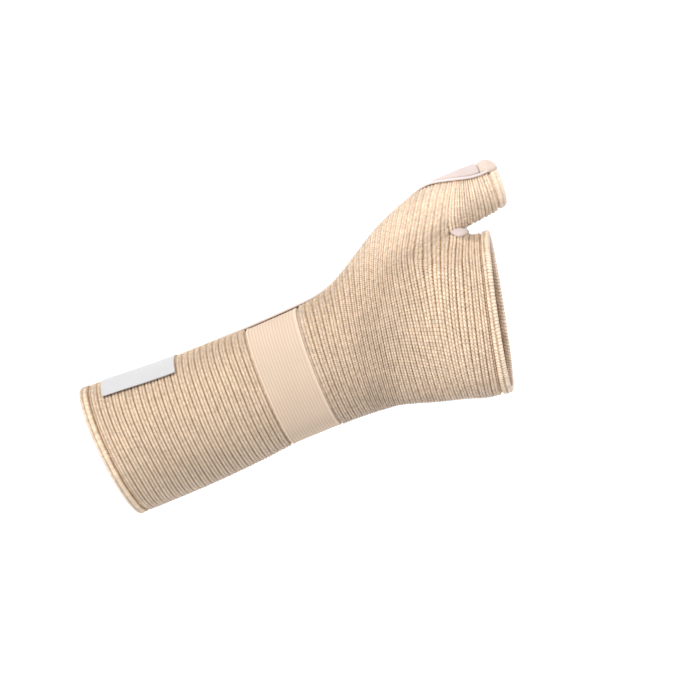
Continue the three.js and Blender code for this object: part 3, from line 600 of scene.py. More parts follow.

# Name, colour, painted shade of the lines, threads to a unit, height of the weave in metres, roughness and
# sheen
strap_cloth, pocket_cloth, piping_cloth, tab_cloth, thread_cloth, label_cloth = (
    woven_material(*row)
    for row in (
        ("woven_elastic", (0.725, 0.56, 0.42), 0.2, 1.5, 0.00015, 0.8, 0.05, STRAP_WIDTH / STRAP_LINE),
        ("smooth_pocket_cloth", (0.7, 0.575, 0.525), 0.03, 2.0, 0.0001, 0.85, 0.3),
        ("piping_cloth", (0.79, 0.71, 0.67), 0.03, 2.0, 0.0001, 0.8, 0.3),
        ("tab_cloth", (0.74, 0.59, 0.49), 0.04, 2.0, 0.0001, 0.85, 0.3),
        ("sewing_thread", (0.8, 0.7, 0.64), 0.1, 1.0, 0.00008, 0.6, 0.2),
        ("label_satin", (0.57, 0.56, 0.55), 0.02, 3.0, 0.00006, 0.45, 0.1),
    )
)


# The knit sleeve

FINE, COARSE = 12, 3
RINGS_A_RIB = 10
MAIN_GROOVE, SMALL_GROOVE, RIB_TOP = 1.15, 0.75, 0.3
STITCH_RELIEF = 0.26
WARP = 0.3
RIB_PULL = 6
CREASE_REACH, CREASE_ROUNDS = 26, 400

# Where the ribs are pulled towards the crease: stations from start to fading, and shares round the sleeve
PULL_START, PULL_FULL, PULL_FADE = 140, 187, 191
PULL_SHARE, PULL_PAST_CROTCH = 0.12, 0.02

# How far past the strap its hidden rings reach, and how many there are, over how many wales
HIDDEN_PAST, HIDDEN_RINGS, HIDDEN_WALES = 0.4, 9, 16


def rib_stations(first, last, rings):
    ribs = max(1, round((last - first) / RIB_PITCH))
    count = ribs * rings
    return np.linspace(first, last, count + 1), np.linspace(0, 2 * ribs, count + 1)


class Sleeve:
    """The three loops of the sleeve as grids of vertex numbers, with a shared ring at the crotch."""

    def __init__(self, factor, stations, wales, stitch_columns, warped):
        self.factor, self.station = factor, stations
        self.index, self.u, self.v = {}, {}, wales
        verts, at, wale, stitch = [], [], [], []
        count = 0
        for loop in ("body", "palm", "thumb"):
            q = np.arange(LOOP_COLUMNS[loop] * factor) / factor
            s = np.broadcast_to(stations[loop][:, None], (len(stations[loop]), len(q))).copy()
            if warped:
                s += warp_of(loop, q, s)
            self.index[loop] = count + np.arange(s.size).reshape(s.shape)
            self.u[loop] = np.arange(len(q) + 1) / stitch_columns[loop]
            verts.append(surface(loop, q, s).reshape(-1, 3))
            at.append(s.ravel())
            wale.append(np.broadcast_to(wales[loop][:, None], s.shape).ravel())
            stitch.append(np.broadcast_to(self.u[loop][None, :-1], s.shape).ravel())
            count += s.size
        self.verts, self.at, self.wales, self.stitches = map(np.concatenate, (verts, at, wale, stitch))
        self.join()

    def join(self):
        """Makes the first rings of the palm and the thumb share the last ring of the body."""
        f = self.factor
        last = self.index["body"][-1]
        crotch, n = CROTCH_COLUMN * f, len(last)
        palm, thumb = self.index["palm"][0], self.index["thumb"][0]
        web = palm[crotch + 1 : crotch + WEB_STEPS * f].copy()
        palm[: crotch + 1] = last[: crotch + 1]
        palm[crotch + WEB_STEPS * f :] = last[n - crotch :]
        thumb[: n - 2 * crotch + 1] = last[crotch : n - crotch + 1]
        thumb[n - 2 * crotch + 1 :] = web[::-1]

    def nearest(self, loop, station):
        return int(np.argmin(np.abs(self.station[loop] - station)))

    def quads(self, loop, low=None, high=None):
        first = 0 if low is None else self.nearest(loop, low)
        last = len(self.station[loop]) - 1 if high is None else self.nearest(loop, high)
        return grid_faces(self.index[loop][first : last + 1], self.u[loop], self.v[loop][first : last + 1])

    def ring(self, loop, station):
        return self.index[loop][self.nearest(loop, station)]

    def all_quads(self):
        return np.concatenate([self.quads(loop)[0] for loop in self.index])


def warp_of(loop, q, s):
    """How far the ribs wander along the sleeve."""
    if loop != "body":
        return np.zeros_like(s)
    side, share, _ = columns_at(loop, q)
    turn = np.where(side > 0, share, 2 - share)[None, :] * math.pi
    fade = smoothstep(np.abs(s - STRAP_MIDDLE) - STRAP_WIDTH / 2, 0, 12)
    fade = fade * smoothstep(s - KNIT_START, 0, 10) * smoothstep(CROTCH_STATION - s, 0, 14)
    pulled = smoothstep(share, PULL_SHARE, CROTCH_SHARE)
    pulled = pulled * (1 - smoothstep(share, CROTCH_SHARE + PULL_PAST_CROTCH, 1))
    pulled = pulled * smoothstep(s, PULL_START, PULL_FULL) * (1 - smoothstep(s, PULL_FADE, CROTCH_STATION))
    return WARP * fade * waves(5, np.cos(turn) * 3, np.sin(turn) * 3, s / 9) - RIB_PULL * pulled


def fine_sleeve():
    before = rib_stations(KNIT_START, STRAP_START - RIBS_FROM_STRAP, RINGS_A_RIB)
    hidden = np.linspace(STRAP_START - HIDDEN_PAST, STRAP_END + HIDDEN_PAST, HIDDEN_RINGS)
    hidden[HIDDEN_RINGS // 2] = STRAP_MIDDLE
    behind = rib_stations(STRAP_END + RIBS_FROM_STRAP, CROTCH_STATION, RINGS_A_RIB)
    start = before[1][-1]
    past = start + HIDDEN_WALES
    between = np.linspace(start, past, HIDDEN_RINGS + 2)[1:-1]
    stations = {"body": np.concatenate([before[0], hidden, behind[0]])}
    wales = {"body": np.concatenate([before[1], between, behind[1] + start + HIDDEN_WALES])}
    for loop, end in (("palm", PALM_KNIT_END), ("thumb", THUMB_KNIT_END)):
        stations[loop], steps = rib_stations(CROTCH_STATION, end, RINGS_A_RIB)
        wales[loop] = steps + wales["body"][-1]
    return Sleeve(FINE, stations, wales, {"body": 2, "palm": 2, "thumb": 3}, True)


sleeve = fine_sleeve()
quads = sleeve.all_quads()
base = sleeve.verts
edges = np.concatenate([quads[:, [0, 1]], quads[:, [1, 2]], quads[:, [2, 3]], quads[:, [3, 0]]])


def evened(values, around, times):
    """Values at the vertices, each moved towards its neighbours' mean some times over."""
    numbers = np.flatnonzero(around)
    local = np.full(len(values), -1)
    local[numbers] = np.arange(len(numbers))
    pairs = edges[around[edges].all(axis=1)]
    a, b = local[pairs[:, 0]], local[pairs[:, 1]]
    count = np.bincount(a, minlength=len(numbers)) + np.bincount(b, minlength=len(numbers)) + 1
    made = values[numbers]
    for _ in range(times):
        summed = made.copy()
        for axis in range(3):
            summed[:, axis] += np.bincount(a, made[b, axis], len(numbers))
            summed[:, axis] += np.bincount(b, made[a, axis], len(numbers))
        made = summed / count[:, None]
    whole = values.copy()
    whole[numbers] = made
    return whole


# The cloth spans the crease between the thumb and the palm on the dorsal side, and meets the gusset.
# This fades out over CREASE_EDGE at its reach, near the crotch, and over the web and the hems
CREASE_EDGE, DORSAL_NORMAL, CROTCH_HOLD = 8, -0.2, 2.5
WEB_FADE, HEM_HOLD, HEM_FADE = 10, 2, 10
NEAR_WEB, NORMAL_ROUNDS = 16, 6

normals = vertex_normals(base, quads)
crotch_point = surface("body", [CROTCH_COLUMN], np.full((1, 1), CROTCH_STATION))[0, 0]
from_crotch = np.linalg.norm(base - crotch_point, axis=1)
around = (from_crotch < CREASE_REACH + CREASE_EDGE) & (normals[:, 2] > DORSAL_NORMAL)
spanned = evened(base, around, CREASE_ROUNDS)
weight = 1 - smoothstep(from_crotch, CREASE_REACH - CREASE_EDGE, CREASE_REACH)
weight = weight * smoothstep(from_crotch, 0, CROTCH_HOLD)
off_web = np.ones(len(base))
for loop, first, end in (
    ("palm", CROTCH_COLUMN, PALM_KNIT_END),
    ("thumb", LOOP_COLUMNS["thumb"] - WEB_STEPS, THUMB_KNIT_END),
):
    count = LOOP_COLUMNS[loop] * FINE
    middle = (first + WEB_STEPS / 2) * FINE
    away = np.abs((np.arange(count) - middle + count / 2) % count - count / 2) - WEB_STEPS / 2 * FINE
    from_hem = smoothstep(end - sleeve.station[loop], HEM_HOLD, HEM_FADE)[:, None]
    off_web[sleeve.index[loop]] = smoothstep(away, 0, WEB_FADE) * from_hem
off_web[sleeve.index["body"]] = 1
base = lerp(base, spanned, (weight * off_web)[:, None])
normals = vertex_normals(base, quads)

# Normals near the web are evened out, so that the ribs stand cleanly there
near_web = from_crotch < NEAR_WEB
normals = np.where(near_web[:, None], unit(evened(normals, near_web, NORMAL_ROUNDS)), normals)

# Ribs and stitches, in relief. Under the strap the knit is flat and lower
DEPTH_WANDER, STITCH_WANDER, UNDER_STRAP = 0.08, 0.5, 0.3

wale_at, place = sleeve.wales, sleeve.at
in_wale = np.abs(2 * (wale_at % 1) - 1)
in_wale[np.abs(wale_at - np.round(wale_at)) < 1e-6] = 1
cord = np.sqrt(np.maximum(1 - in_wale**2, 0))
turn = np.arctan2(base[:, 2], base[:, 1])
depth = lerp(MAIN_GROOVE, SMALL_GROOVE, (1 - np.cos(math.pi * wale_at)) / 2)
depth = depth * (1 + DEPTH_WANDER * waves(9, np.cos(turn) * 4, np.sin(turn) * 4, place / 3))
odd = np.floor(wale_at + 1e-6) % 2
stitch = np.cos(2 * math.pi * (sleeve.stitches + 0.5 * odd))
rough = 1 + STITCH_WANDER * waves(21, np.cos(turn) * 60, np.sin(turn) * 60, place * 5)
lift = RIB_TOP + depth * (cord - 1) + STITCH_RELIEF * stitch * cord * rough
shown = smoothstep(np.abs(place - STRAP_MIDDLE) - STRAP_WIDTH / 2, -0.2, 0.8)
lift = lift * shown - UNDER_STRAP * (1 - shown)
outer = base + normals * (lift + pressed_in(place))[:, None]
outer_normals = vertex_normals(outer, quads)

# The inner surface, coarser, and where the sleeve's second and third pieces meet
INSIDE_STEP, BORDER_BEFORE_CROTCH = 2.2, 15.5
BORDER = float(sleeve.station["body"][sleeve.nearest("body", CROTCH_STATION - BORDER_BEFORE_CROTCH)])


def spaced(*ends):
    runs = []
    for a, b in zip(ends[:-1], ends[1:]):
        runs.append(np.linspace(a, b, max(2, round((b - a) / INSIDE_STEP) + 1)))
    return np.concatenate([runs[0]] + [run[1:] for run in runs[1:]])


inner_stations = {
    "body": spaced(KNIT_START, STRAP_MIDDLE, BORDER, CROTCH_STATION),
    "palm": spaced(CROTCH_STATION, PALM_KNIT_END),
    "thumb": spaced(CROTCH_STATION, THUMB_KNIT_END),
}
inner_wales = {loop: np.arange(len(s)) * 1.0 for loop, s in inner_stations.items()}
inside = Sleeve(COARSE, inner_stations, inner_wales, {"body": 0.5, "palm": 0.5, "thumb": 0.75}, False)
inner_quads = inside.all_quads()
inner_normals = vertex_normals(inside.verts, inner_quads)
inner = inside.verts + inner_normals * (pressed_in(inside.at) - KNIT_WALL)[:, None]


def knit_piece(name, spans, closings):
    """A closed piece of the sleeve: spans of both surfaces, and the rims that join them."""
    faces, uvs, rims = [], [], []
    offset = len(outer)
    for span in spans:
        found, corner = sleeve.quads(*span)
        faces.append(found)
        uvs.append(corner)
        found, corner = inside.quads(*span)
        faces.append(found[:, ::-1] + offset)
        uvs.append(corner[:, ::-1])
    step = FINE // COARSE
    for loop, station, at_start in closings:
        out, low = sleeve.ring(loop, station), inside.ring(loop, station) + offset
        for k in range(len(low)):
            run = [out[(k * step + j) % len(out)] for j in range(step + 1)]
            face = [low[k], *run, low[(k + 1) % len(low)]]
            rims.append(face if at_start else face[::-1])
    faces, rims = np.concatenate(faces), np.array(rims)
    used = np.unique(np.concatenate([faces.ravel(), rims.ravel()]))
    renumber = np.full(offset + len(inner), -1)
    renumber[used] = np.arange(len(used))
    return piece(
        name,
        np.concatenate([outer, inner])[used],
        [renumber[faces], renumber[rims]],
        [np.concatenate(uvs), np.full((*rims.shape, 2), (0.0, 0.5))],
        knit_cloth,
        np.concatenate([outer_normals, -inner_normals])[used],
    )


def place_piece(made, nodes):
    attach(made, "root")
    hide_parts(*nodes)


for name, spans, closings in (
    (
        "knit_forearm",
        [("body", KNIT_START, STRAP_MIDDLE)],
        [("body", KNIT_START, True), ("body", STRAP_MIDDLE, False)],
    ),
    (
        "knit_wrist_to_palm",
        [("body", STRAP_MIDDLE, BORDER)],
        [("body", STRAP_MIDDLE, True), ("body", BORDER, False)],
    ),
    (
        "knit_palm_and_thumb",
        [("body", BORDER, CROTCH_STATION), ("palm", None, None), ("thumb", None, None)],
        [("body", BORDER, True), ("palm", PALM_KNIT_END, False), ("thumb", THUMB_KNIT_END, False)],
    ),
):
    place_piece(knit_piece(name, spans, closings), ["knit_sleeve"])


# Bands round a loop: the hems and the strap


def band(name, loop, station, distance, v, columns, stitch_columns, material, relief):
    """A closed band round a loop, from a profile of stations and distances off the knit.

    The profile turns left, seen from its left end.
    """
    q = np.arange(LOOP_COLUMNS[loop] * columns) / columns
    s = np.broadcast_to(station[:, None], (len(station), len(q)))
    steps = np.arange(len(q) + 1) / stitch_columns
    d = distance[:, None] + relief(s, steps[None, :-1], v[:-1, None])
    grid = surface(loop, q, s) + outward(loop, q, s) * d[..., None]
    index = np.arange(s.size).reshape(s.shape)
    quads, corner = grid_faces(np.concatenate([index, index[:1]]), steps, v)
    verts = grid.reshape(-1, 3)
    return piece(name, verts, [quads], [corner], material, vertex_normals(verts, quads))


# The hem's section: points, squareness, how far it tucks in at the seam, and its wales by distance from it
HEM_POINTS, HEM_BOX, SEAM_TUCK = 44, 3.4, 0.26
HEM_WALES_AT, HEM_WALES = (3.2, 5.7), (1.6, 2, 3, 3.6)


def hem(name, loop, seam, fold, grooves, stitches, material):
    """A folded edge with sewn grooves, given as distance from the seam, depth and half width."""
    turn = np.linspace(0, 2 * math.pi, HEM_POINTS, endpoint=False)
    c, s = np.cos(turn), np.sin(turn)
    across = np.sign(c) * np.abs(c) ** (2 / HEM_BOX)
    up = np.sign(s) * np.abs(s) ** (2 / HEM_BOX)
    seam += math.copysign(SEAM_TUCK, seam - fold)
    middle, half = (seam + fold) / 2, (fold - seam) / 2
    station = middle + half * across
    distance = HEM_SWELL - HEM_DEPTH / 2 + HEM_DEPTH / 2 * up
    on_top = smoothstep(up, -0.2, 0.7)
    from_seam = np.abs(station - seam)
    for at, deep, wide in grooves:
        distance = distance - on_top * deep * np.exp(-(((from_seam - at) / wide) ** 2))
    v = np.interp(from_seam, (0, grooves[0][0], *HEM_WALES_AT), HEM_WALES)
    v = np.append(v, v[0])
    if half < 0:
        station, distance, v = station[::-1], distance[::-1], v[::-1]

    def relief(s, u, v):
        odd = np.floor(v) % 2
        return stitches * (np.cos(2 * math.pi * (u + 0.5 * odd)) + 0.6 * waves(31, u / 2, s))

    return band(name, loop, station, distance, v, FINE, 3 if loop == "thumb" else 2, material, relief)


for node, *row in (
    ("forearm_hem", "body", HEM_WIDTH, 0.0, ((0.8, 1.0, 0.5), (3.2, 0.35, 0.4)), 0.2, knit_cloth),
    ("palm_hem", "palm", PALM_EDGE - HEM_WIDTH, PALM_EDGE, ((0.7, 1.2, 0.55),), 0.2, knit_cloth),
    ("thumb_hem", "thumb", THUMB_EDGE - HEM_WIDTH, THUMB_EDGE, ((0.7, 1.3, 0.6),), 0.08, hem_cloth),
):
    place_piece(hem(f"{node}_fold", *row), [node])

# The strap's rings above and below, its lines and its raised edges
STRAP_RINGS, STRAP_RINGS_BELOW, STRAP_LINE_DEPTH = 141, 12, 0.11
SELVEDGE, SELVEDGE_IN, SELVEDGE_WIDE = 0.2, 0.9, 0.55


def strap():
    under, top = GAP - STRAP_SINK, GAP - STRAP_SINK + STRAP_THICK
    over = np.linspace(STRAP_START + 0.25, STRAP_END - 0.25, STRAP_RINGS)
    below = np.linspace(STRAP_END - 0.3, STRAP_START + 0.3, STRAP_RINGS_BELOW)
    line = -STRAP_LINE_DEPTH * np.cos(2 * math.pi * (over - STRAP_START) / STRAP_LINE)
    from_edge = np.minimum(over - STRAP_START, STRAP_END - over)
    selvedge = SELVEDGE * np.exp(-(((from_edge - SELVEDGE_IN) / SELVEDGE_WIDE) ** 2))
    side = [lerp(under, top, 0.5)]
    station = np.concatenate([[STRAP_START], over, [STRAP_END], below])
    distance = np.concatenate([side, top + line + selvedge, side, np.full(STRAP_RINGS_BELOW, under)])
    v = (np.append(station, station[0]) - STRAP_START) / STRAP_LINE

    def relief(s, u, v):
        return 0.05 * waves(41, s / 4, u / 12)

    return band("wrist_strap_woven", "body", station, distance, v, 8, 1.0, strap_cloth, relief)


place_piece(strap(), ["wrist_strap"])


# Pieces laid over the thumb side

ARC_STEP = 0.05
ARC_SIDE = 11.0


def beside_thumb(station, distance_round):
    """Points of the knit near the thumb side and its directions, by row: how far round from its outline."""
    at, out = np.zeros((*distance_round.shape, 3)), np.zeros((*distance_round.shape, 3))
    for loop, start, rows in (
        ("body", HALF_COLUMNS, station <= CROTCH_STATION),
        ("thumb", HALF_COLUMNS - CROTCH_COLUMN, station > CROTCH_STATION),
    ):
        if not rows.any():
            continue
        reach = min(ARC_SIDE, start)
        q = np.arange(-reach, reach + ARC_STEP / 2, ARC_STEP) + start
        s = station[rows]
        line = surface(loop, q, np.broadcast_to(s[:, None], (len(s), len(q))))
        run = np.stack([run_along(row) for row in line])
        run -= run[:, len(q) // 2][:, None]
        wanted = -distance_round[rows]
        found = np.array([np.interp(wanted[i], run[i], q) for i in range(len(s))])
        flat_q, flat_s = found.ravel(), np.repeat(s, wanted.shape[1])[None, :]
        at[rows] = surface(loop, flat_q, flat_s)[0].reshape(*wanted.shape, 3)
        out[rows] = outward(loop, flat_q, flat_s)[0].reshape(*wanted.shape, 3)
    return at, out


def natural_cubic(x, y):
    """A smooth curve through the points, flat in bend at its ends."""
    x, y = np.asarray(x, float), np.asarray(y, float)
    n, h = len(x), np.diff(x)
    a, b = np.zeros((n, n)), np.zeros(n)
    a[0, 0] = a[-1, -1] = 1
    for i in range(1, n - 1):
        a[i, i - 1 : i + 2] = h[i - 1], 2 * (h[i - 1] + h[i]), h[i]
        b[i] = 6 * ((y[i + 1] - y[i]) / h[i] - (y[i] - y[i - 1]) / h[i - 1])
    bend = np.linalg.solve(a, b)

    def at(t):
        i = np.clip(np.searchsorted(x, t) - 1, 0, n - 2)
        left, right = x[i + 1] - t, t - x[i]
        return (
            bend[i] * left**3 / (6 * h[i])
            + bend[i + 1] * right**3 / (6 * h[i])
            + (y[i] / h[i] - bend[i] * h[i] / 6) * left
            + (y[i + 1] / h[i] - bend[i + 1] * h[i] / 6) * right
        )

    return at


edge_course = natural_cubic(POCKET_EDGE_PLACE, POCKET_EDGE_OFFSET)


def pocket_edge(station):
    return edge_course((station - POCKET_START) / (THUMB_EDGE - POCKET_START)) * POCKET_WIDTH


def laid(name, station, first, last, under, over, columns, material, corner):
    """A closed sheet over the thumb side, with rounded corners.

    under and over give the lifts by share along and across.
    """
    share = np.linspace(0, 1, columns + 1)
    along = np.linspace(0, 1, len(station))[:, None]
    away = lerp(first[:, None], last[:, None], share[None, :])
    at, out = beside_thumb(station, away)
    edge = np.clip(np.minimum(share, 1 - share) * abs(first[0] - last[0]) / corner, 0, 1)
    cut = corner * (1 - np.sqrt(1 - (1 - edge) ** 2))
    shrink = 1 - 2 * cut / (station[-1] - station[0])
    rows = (len(station) - 1) * (0.5 + (along - 0.5) * shrink[None, :])
    low = np.clip(rows.astype(int), 0, len(station) - 2)
    part = (rows - low)[..., None]
    column = np.broadcast_to(np.arange(columns + 1), low.shape)
    at = lerp(at[low, column], at[low + 1, column], part)
    out = lerp(out[low, column], out[low + 1, column], part)
    top, bottom = (
        at + out * np.broadcast_to(lift(along, share[None, :]), away.shape)[..., None]
        for lift in (over, under)
    )
    return slab(name, top, bottom, material, away, np.interp(rows, np.arange(len(station)), station))


def slab(name, top, bottom, material, u, v):
    """Closes two grids of points (rows, columns) into one solid sheet."""
    index = np.arange(u.size).reshape(u.shape)
    verts = np.concatenate([top.reshape(-1, 3), bottom.reshape(-1, 3)])
    uv = np.tile(np.stack([u, v], axis=-1).reshape(-1, 2), (2, 1))
    above = cells(index).reshape(-1, 4)
    rim = np.concatenate([index[0, :-1], index[:-1, -1], index[-1, :0:-1], index[:0:-1, 0]])
    following = np.roll(rim, -1)
    walls = np.stack([rim, following, following + u.size, rim + u.size], axis=-1)
    quads = np.concatenate([above, above[:, ::-1] + u.size, walls])
    return piece(name, verts, [quads], [uv[quads]], material, vertex_normals(verts, quads))


OVER_RIBS = RIB_HEIGHT / 2 + GAP
UNDER_POCKET = OVER_RIBS + POCKET_EASE


def rounded(share, width, radius):
    """From 0 at the edges to 1, over a radius."""
    edge = np.minimum(share, 1 - share) * width
    return np.sqrt(np.clip(1 - (1 - np.clip(edge / radius, 0, 1)) ** 2, 0, 1))


SEAM_INSET, SEAM_DIP = 2.2, 0.3
PIPING_END = THUMB_EDGE - HEM_WIDTH - 0.5
POCKET_CLOTH = POCKET_WIDTH - PIPING_DIAMETER - GAP
EDGE_THICK, POCKET_ROUND = 0.25, 0.9


def pocket_crown(along):
    return lerp(POCKET_CROWN, POCKET_END_CROWN, along**3)


def pocket():
    station = np.linspace(POCKET_START, POCKET_END, 220)
    first, last = pocket_edge(station) - PIPING_DIAMETER - GAP, pocket_edge(station) - POCKET_WIDTH

    def under(along, across):
        return UNDER_POCKET

    def over(along, across):
        crown = pocket_crown(along) * np.sin(math.pi * across)
        from_edge = np.minimum(across, 1 - across) * POCKET_CLOTH
        seam = SEAM_DIP * np.exp(-(((from_edge - SEAM_INSET) / 0.4) ** 2))
        side = rounded(across, POCKET_CLOTH, POCKET_ROUND)
        side = side * rounded(along, POCKET_END - POCKET_START, POCKET_ROUND)
        return UNDER_POCKET + EDGE_THICK + (POCKET_THICK - EDGE_THICK) * side + crown - seam

    return laid("stay_pocket_cloth", station, first, last, under, over, 56, pocket_cloth, 1.0)


place_piece(pocket(), ["stay_pocket"])


def rings_round(path, side, up, radius, sides):
    """Rings of points round a path, at one radius or at one for each of its points."""
    turn = np.linspace(0, 2 * math.pi, sides, endpoint=False)[None, :, None]
    radius = np.broadcast_to(radius, (len(path),))[:, None, None]
    return path[:, None] + radius * (np.cos(turn) * side[:, None] + np.sin(turn) * up[:, None])


def tube(name, path, radius, sides, material):
    """A round cord along points, with closed ends."""
    tangent = unit(np.gradient(path, axis=0))
    side = unit(np.cross(tangent, np.array([0.0, 0.0, 1.0])))
    ring = rings_round(path, side, np.cross(side, tangent), radius, sides)
    verts = np.concatenate([ring.reshape(-1, 3), path[:1], path[-1:]])
    index = np.arange(len(path) * sides).reshape(len(path), sides)
    quads, corner = grid_faces(index, np.linspace(0, 3, sides + 1), run_along(path))
    caps = []
    for middle, rim in ((len(verts) - 2, index[0]), (len(verts) - 1, index[-1][::-1])):
        caps.append(np.stack([np.full(sides, middle), rim, np.roll(rim, -1)], axis=-1))
    caps = np.concatenate(caps)
    return piece(name, verts, [quads, caps], [corner, np.zeros((len(caps), 3, 2))], material)


def piping():
    radius = PIPING_DIAMETER / 2
    station = np.linspace(POCKET_START, PIPING_END, 420)
    away = (pocket_edge(station) - radius)[:, None]
    at, out = beside_thumb(station, away)
    path = (at + out * (UNDER_POCKET + radius))[:, 0]
    return tube("pocket_piping_cord", path, radius, 14, piping_cloth)


place_piece(piping(), ["pocket_piping"])


HEM_TOP = HEM_SWELL + GAP


def tab():
    station = np.linspace(THUMB_EDGE - TAB_LENGTH, THUMB_EDGE, 40)
    edge = pocket_edge(station)

    def over(along, across):
        side = rounded(across, POCKET_WIDTH, 1.0) * rounded(along, TAB_LENGTH, 1.0)
        crown = TAB_CROWN * np.sin(math.pi * along) * np.sin(math.pi * across)
        return HEM_TOP + EDGE_THICK + (TAB_THICK - EDGE_THICK) * side + crown

    def under(along, across):
        return HEM_TOP

    beside_piping = PIPING_DIAMETER * (1 - smoothstep(station, PIPING_END - 1.5, PIPING_END + 0.5))
    first, last = edge - beside_piping, edge - POCKET_WIDTH
    return laid("pocket_tab_cloth", station, first, last, under, over, 72, tab_cloth, 1.0)


place_piece(tab(), ["pocket_tab"])


LABEL_SLANT, LABEL_ROWS = 1.2, 90


def label():
    station = np.linspace(LABEL_FROM_EDGE, LABEL_FROM_EDGE + LABEL_LENGTH, LABEL_ROWS)
    first = np.full(LABEL_ROWS, LABEL_HEIGHT - LABEL_PAST_SIDE)
    last = -LABEL_PAST_SIDE + LABEL_SLANT * np.linspace(1, 0, LABEL_ROWS)

    def under(along, across):
        lift = LABEL_LIFT * (1 - smoothstep(across * LABEL_HEIGHT, 0, LABEL_HEIGHT - LABEL_SEWN))
        return OVER_RIBS + lift + 0.08 * np.sin(along * 7) * (1 - across)

    def over(along, across):
        hem_line = 0.1 * np.exp(-(((np.minimum(along, 1 - along) * LABEL_LENGTH - 1.4) / 0.3) ** 2))
        return under(along, across) + LABEL_THICK - hem_line

    return laid("label_cloth", station, first, last, under, over, 64, label_cloth, 0.7)


place_piece(label(), ["label"])


# Sewn threads over the thumb side

THREAD, STITCH_LONG, STITCH_EVERY = 0.17, 2.0, 2.7
THREAD_SIDES, THREAD_RINGS = 8, 7

# How high a thread's middle stands, how deep its ends lie, and how thin they are
THREAD_BOW, THREAD_DEEP, THREAD_END = 0.28, 0.12, 0.45


def sewn(name, runs):
    """Short threads along runs of points, each lying a little into the cloth at both of its ends."""
    verts, faces, uvs = [], [], []
    count = 0
    for at, out in runs:
        length = run_along(at)
        for start in np.arange(0.6, length[-1] - STITCH_LONG, STITCH_EVERY):
            place = np.linspace(start, start + STITCH_LONG, THREAD_RINGS)
            middle, up = (
                np.stack([np.interp(place, length, values[:, k]) for k in range(3)], axis=1)
                for values in (at, out)
            )
            up = unit(up)
            bend = np.sin(math.pi * np.linspace(0, 1, THREAD_RINGS))[:, None]
            middle = middle + up * (bend * THREAD_BOW - THREAD_DEEP)
            side = unit(np.cross(np.gradient(middle, axis=0), up))
            thick = THREAD * (THREAD_END + (1 - THREAD_END) * bend[:, 0])
            verts.append(rings_round(middle, side, up, thick, THREAD_SIDES).reshape(-1, 3))
            index = count + np.arange(THREAD_RINGS * THREAD_SIDES).reshape(THREAD_RINGS, THREAD_SIDES)
            quads, corner = grid_faces(index, np.linspace(0, 2, THREAD_SIDES + 1), place)
            faces.append(quads)
            uvs.append(corner)
            for cap in (index[0][::-1], index[-1]):
                faces.append(cap[[[0, 1, 2, 3], [4, 5, 6, 7], [0, 3, 4, 7]]])
                uvs.append(np.zeros((3, 4, 2)))
            count += index.size
    made = piece(name, np.concatenate(verts), [np.concatenate(faces)], [np.concatenate(uvs)], thread_cloth)
    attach(made, "root")


def sewn_run(station, away, lift):
    at, out = beside_thumb(station, np.broadcast_to(away, station.shape)[:, None])
    return at[:, 0] + out[:, 0] * np.broadcast_to(lift, station.shape)[:, None], out[:, 0]


def pocket_seams():
    station = np.linspace(POCKET_START + 1.5, POCKET_END - 1, 300)
    along = (station - POCKET_START) / (POCKET_END - POCKET_START)
    runs = []
    for inset in (SEAM_INSET, POCKET_CLOTH - SEAM_INSET):
        crown = pocket_crown(along) * math.sin(math.pi * inset / POCKET_CLOTH)
        away = pocket_edge(station) - PIPING_DIAMETER - GAP - inset
        runs.append(sewn_run(station, away, UNDER_POCKET + POCKET_THICK + crown - SEAM_DIP))
    return runs


def label_seam():
    station = np.linspace(LABEL_FROM_EDGE + 1, LABEL_FROM_EDGE + LABEL_LENGTH - 1, 120)
    return [sewn_run(station, LABEL_SEAM - LABEL_PAST_SIDE, OVER_RIBS + LABEL_THICK)]


LABEL_SEAM = 1.2
sewn("pocket_threads", pocket_seams())
sewn("label_threads", label_seam())


# The gusset over the web


def web_q(loop, column):
    return CROTCH_COLUMN + column if loop == "palm" else LOOP_COLUMNS["thumb"] - column


def web_outward(loop, column, station):
    summed = 0
    first, last = ENDS[loop]
    for near in (-1, 0, 1):
        q = web_q(loop, np.clip(column + near, 0, WEB_STEPS))
        s = np.full((1, len(q)), station)
        low, high = np.maximum(s - STATION_STEP, first), np.minimum(s + STATION_STEP, last)
        along = surface(loop, q, high) - surface(loop, q, low)
        around = surface(loop, q + COLUMN_STEP, s) - surface(loop, q - COLUMN_STEP, s)
        summed = summed + np.cross(along, around)[0]
    return unit(summed)


# The gusset's reach to each side and at its tips, and its shift to the dorsal side on the palm
GUSSET_TO_THUMB, GUSSET_TO_PALM, GUSSET_TIPS = 5.0, 7.6, 0.1
GUSSET_SHIFT, SHIFTED_AT = 0.6, 5.5
GUSSET_KEYS = (-5.0, -3.5, 0.0, 3.5, 5.5, 8.0)

# Height, distance from the edge and width of its rolled rim, and of the sewn line inside it
RIM, RIM_IN, RIM_WIDE = 0.45, 0.75, 0.5
LINE, LINE_IN, LINE_WIDE = 0.3, 1.9, 0.35


def on_cloth(loop, q, station, values):
    """Values of the sleeve's vertices between its rings and columns, at one station of the palm or thumb."""
    grid = values[sleeve.index[loop]]
    rings, columns = grid.shape[:2]
    ring = min(np.interp(station, sleeve.station[loop], np.arange(rings)), rings - 1.001)
    column = np.mod(np.asarray(q) * FINE, columns)
    low, first = int(ring), column.astype(int)
    part, across = ring - low, (column - first)[:, None]
    following = (first + 1) % columns
    near = lerp(grid[low, first], grid[low, following], across)
    far = lerp(grid[low + 1, first], grid[low + 1, following], across)
    return lerp(near, far, part)


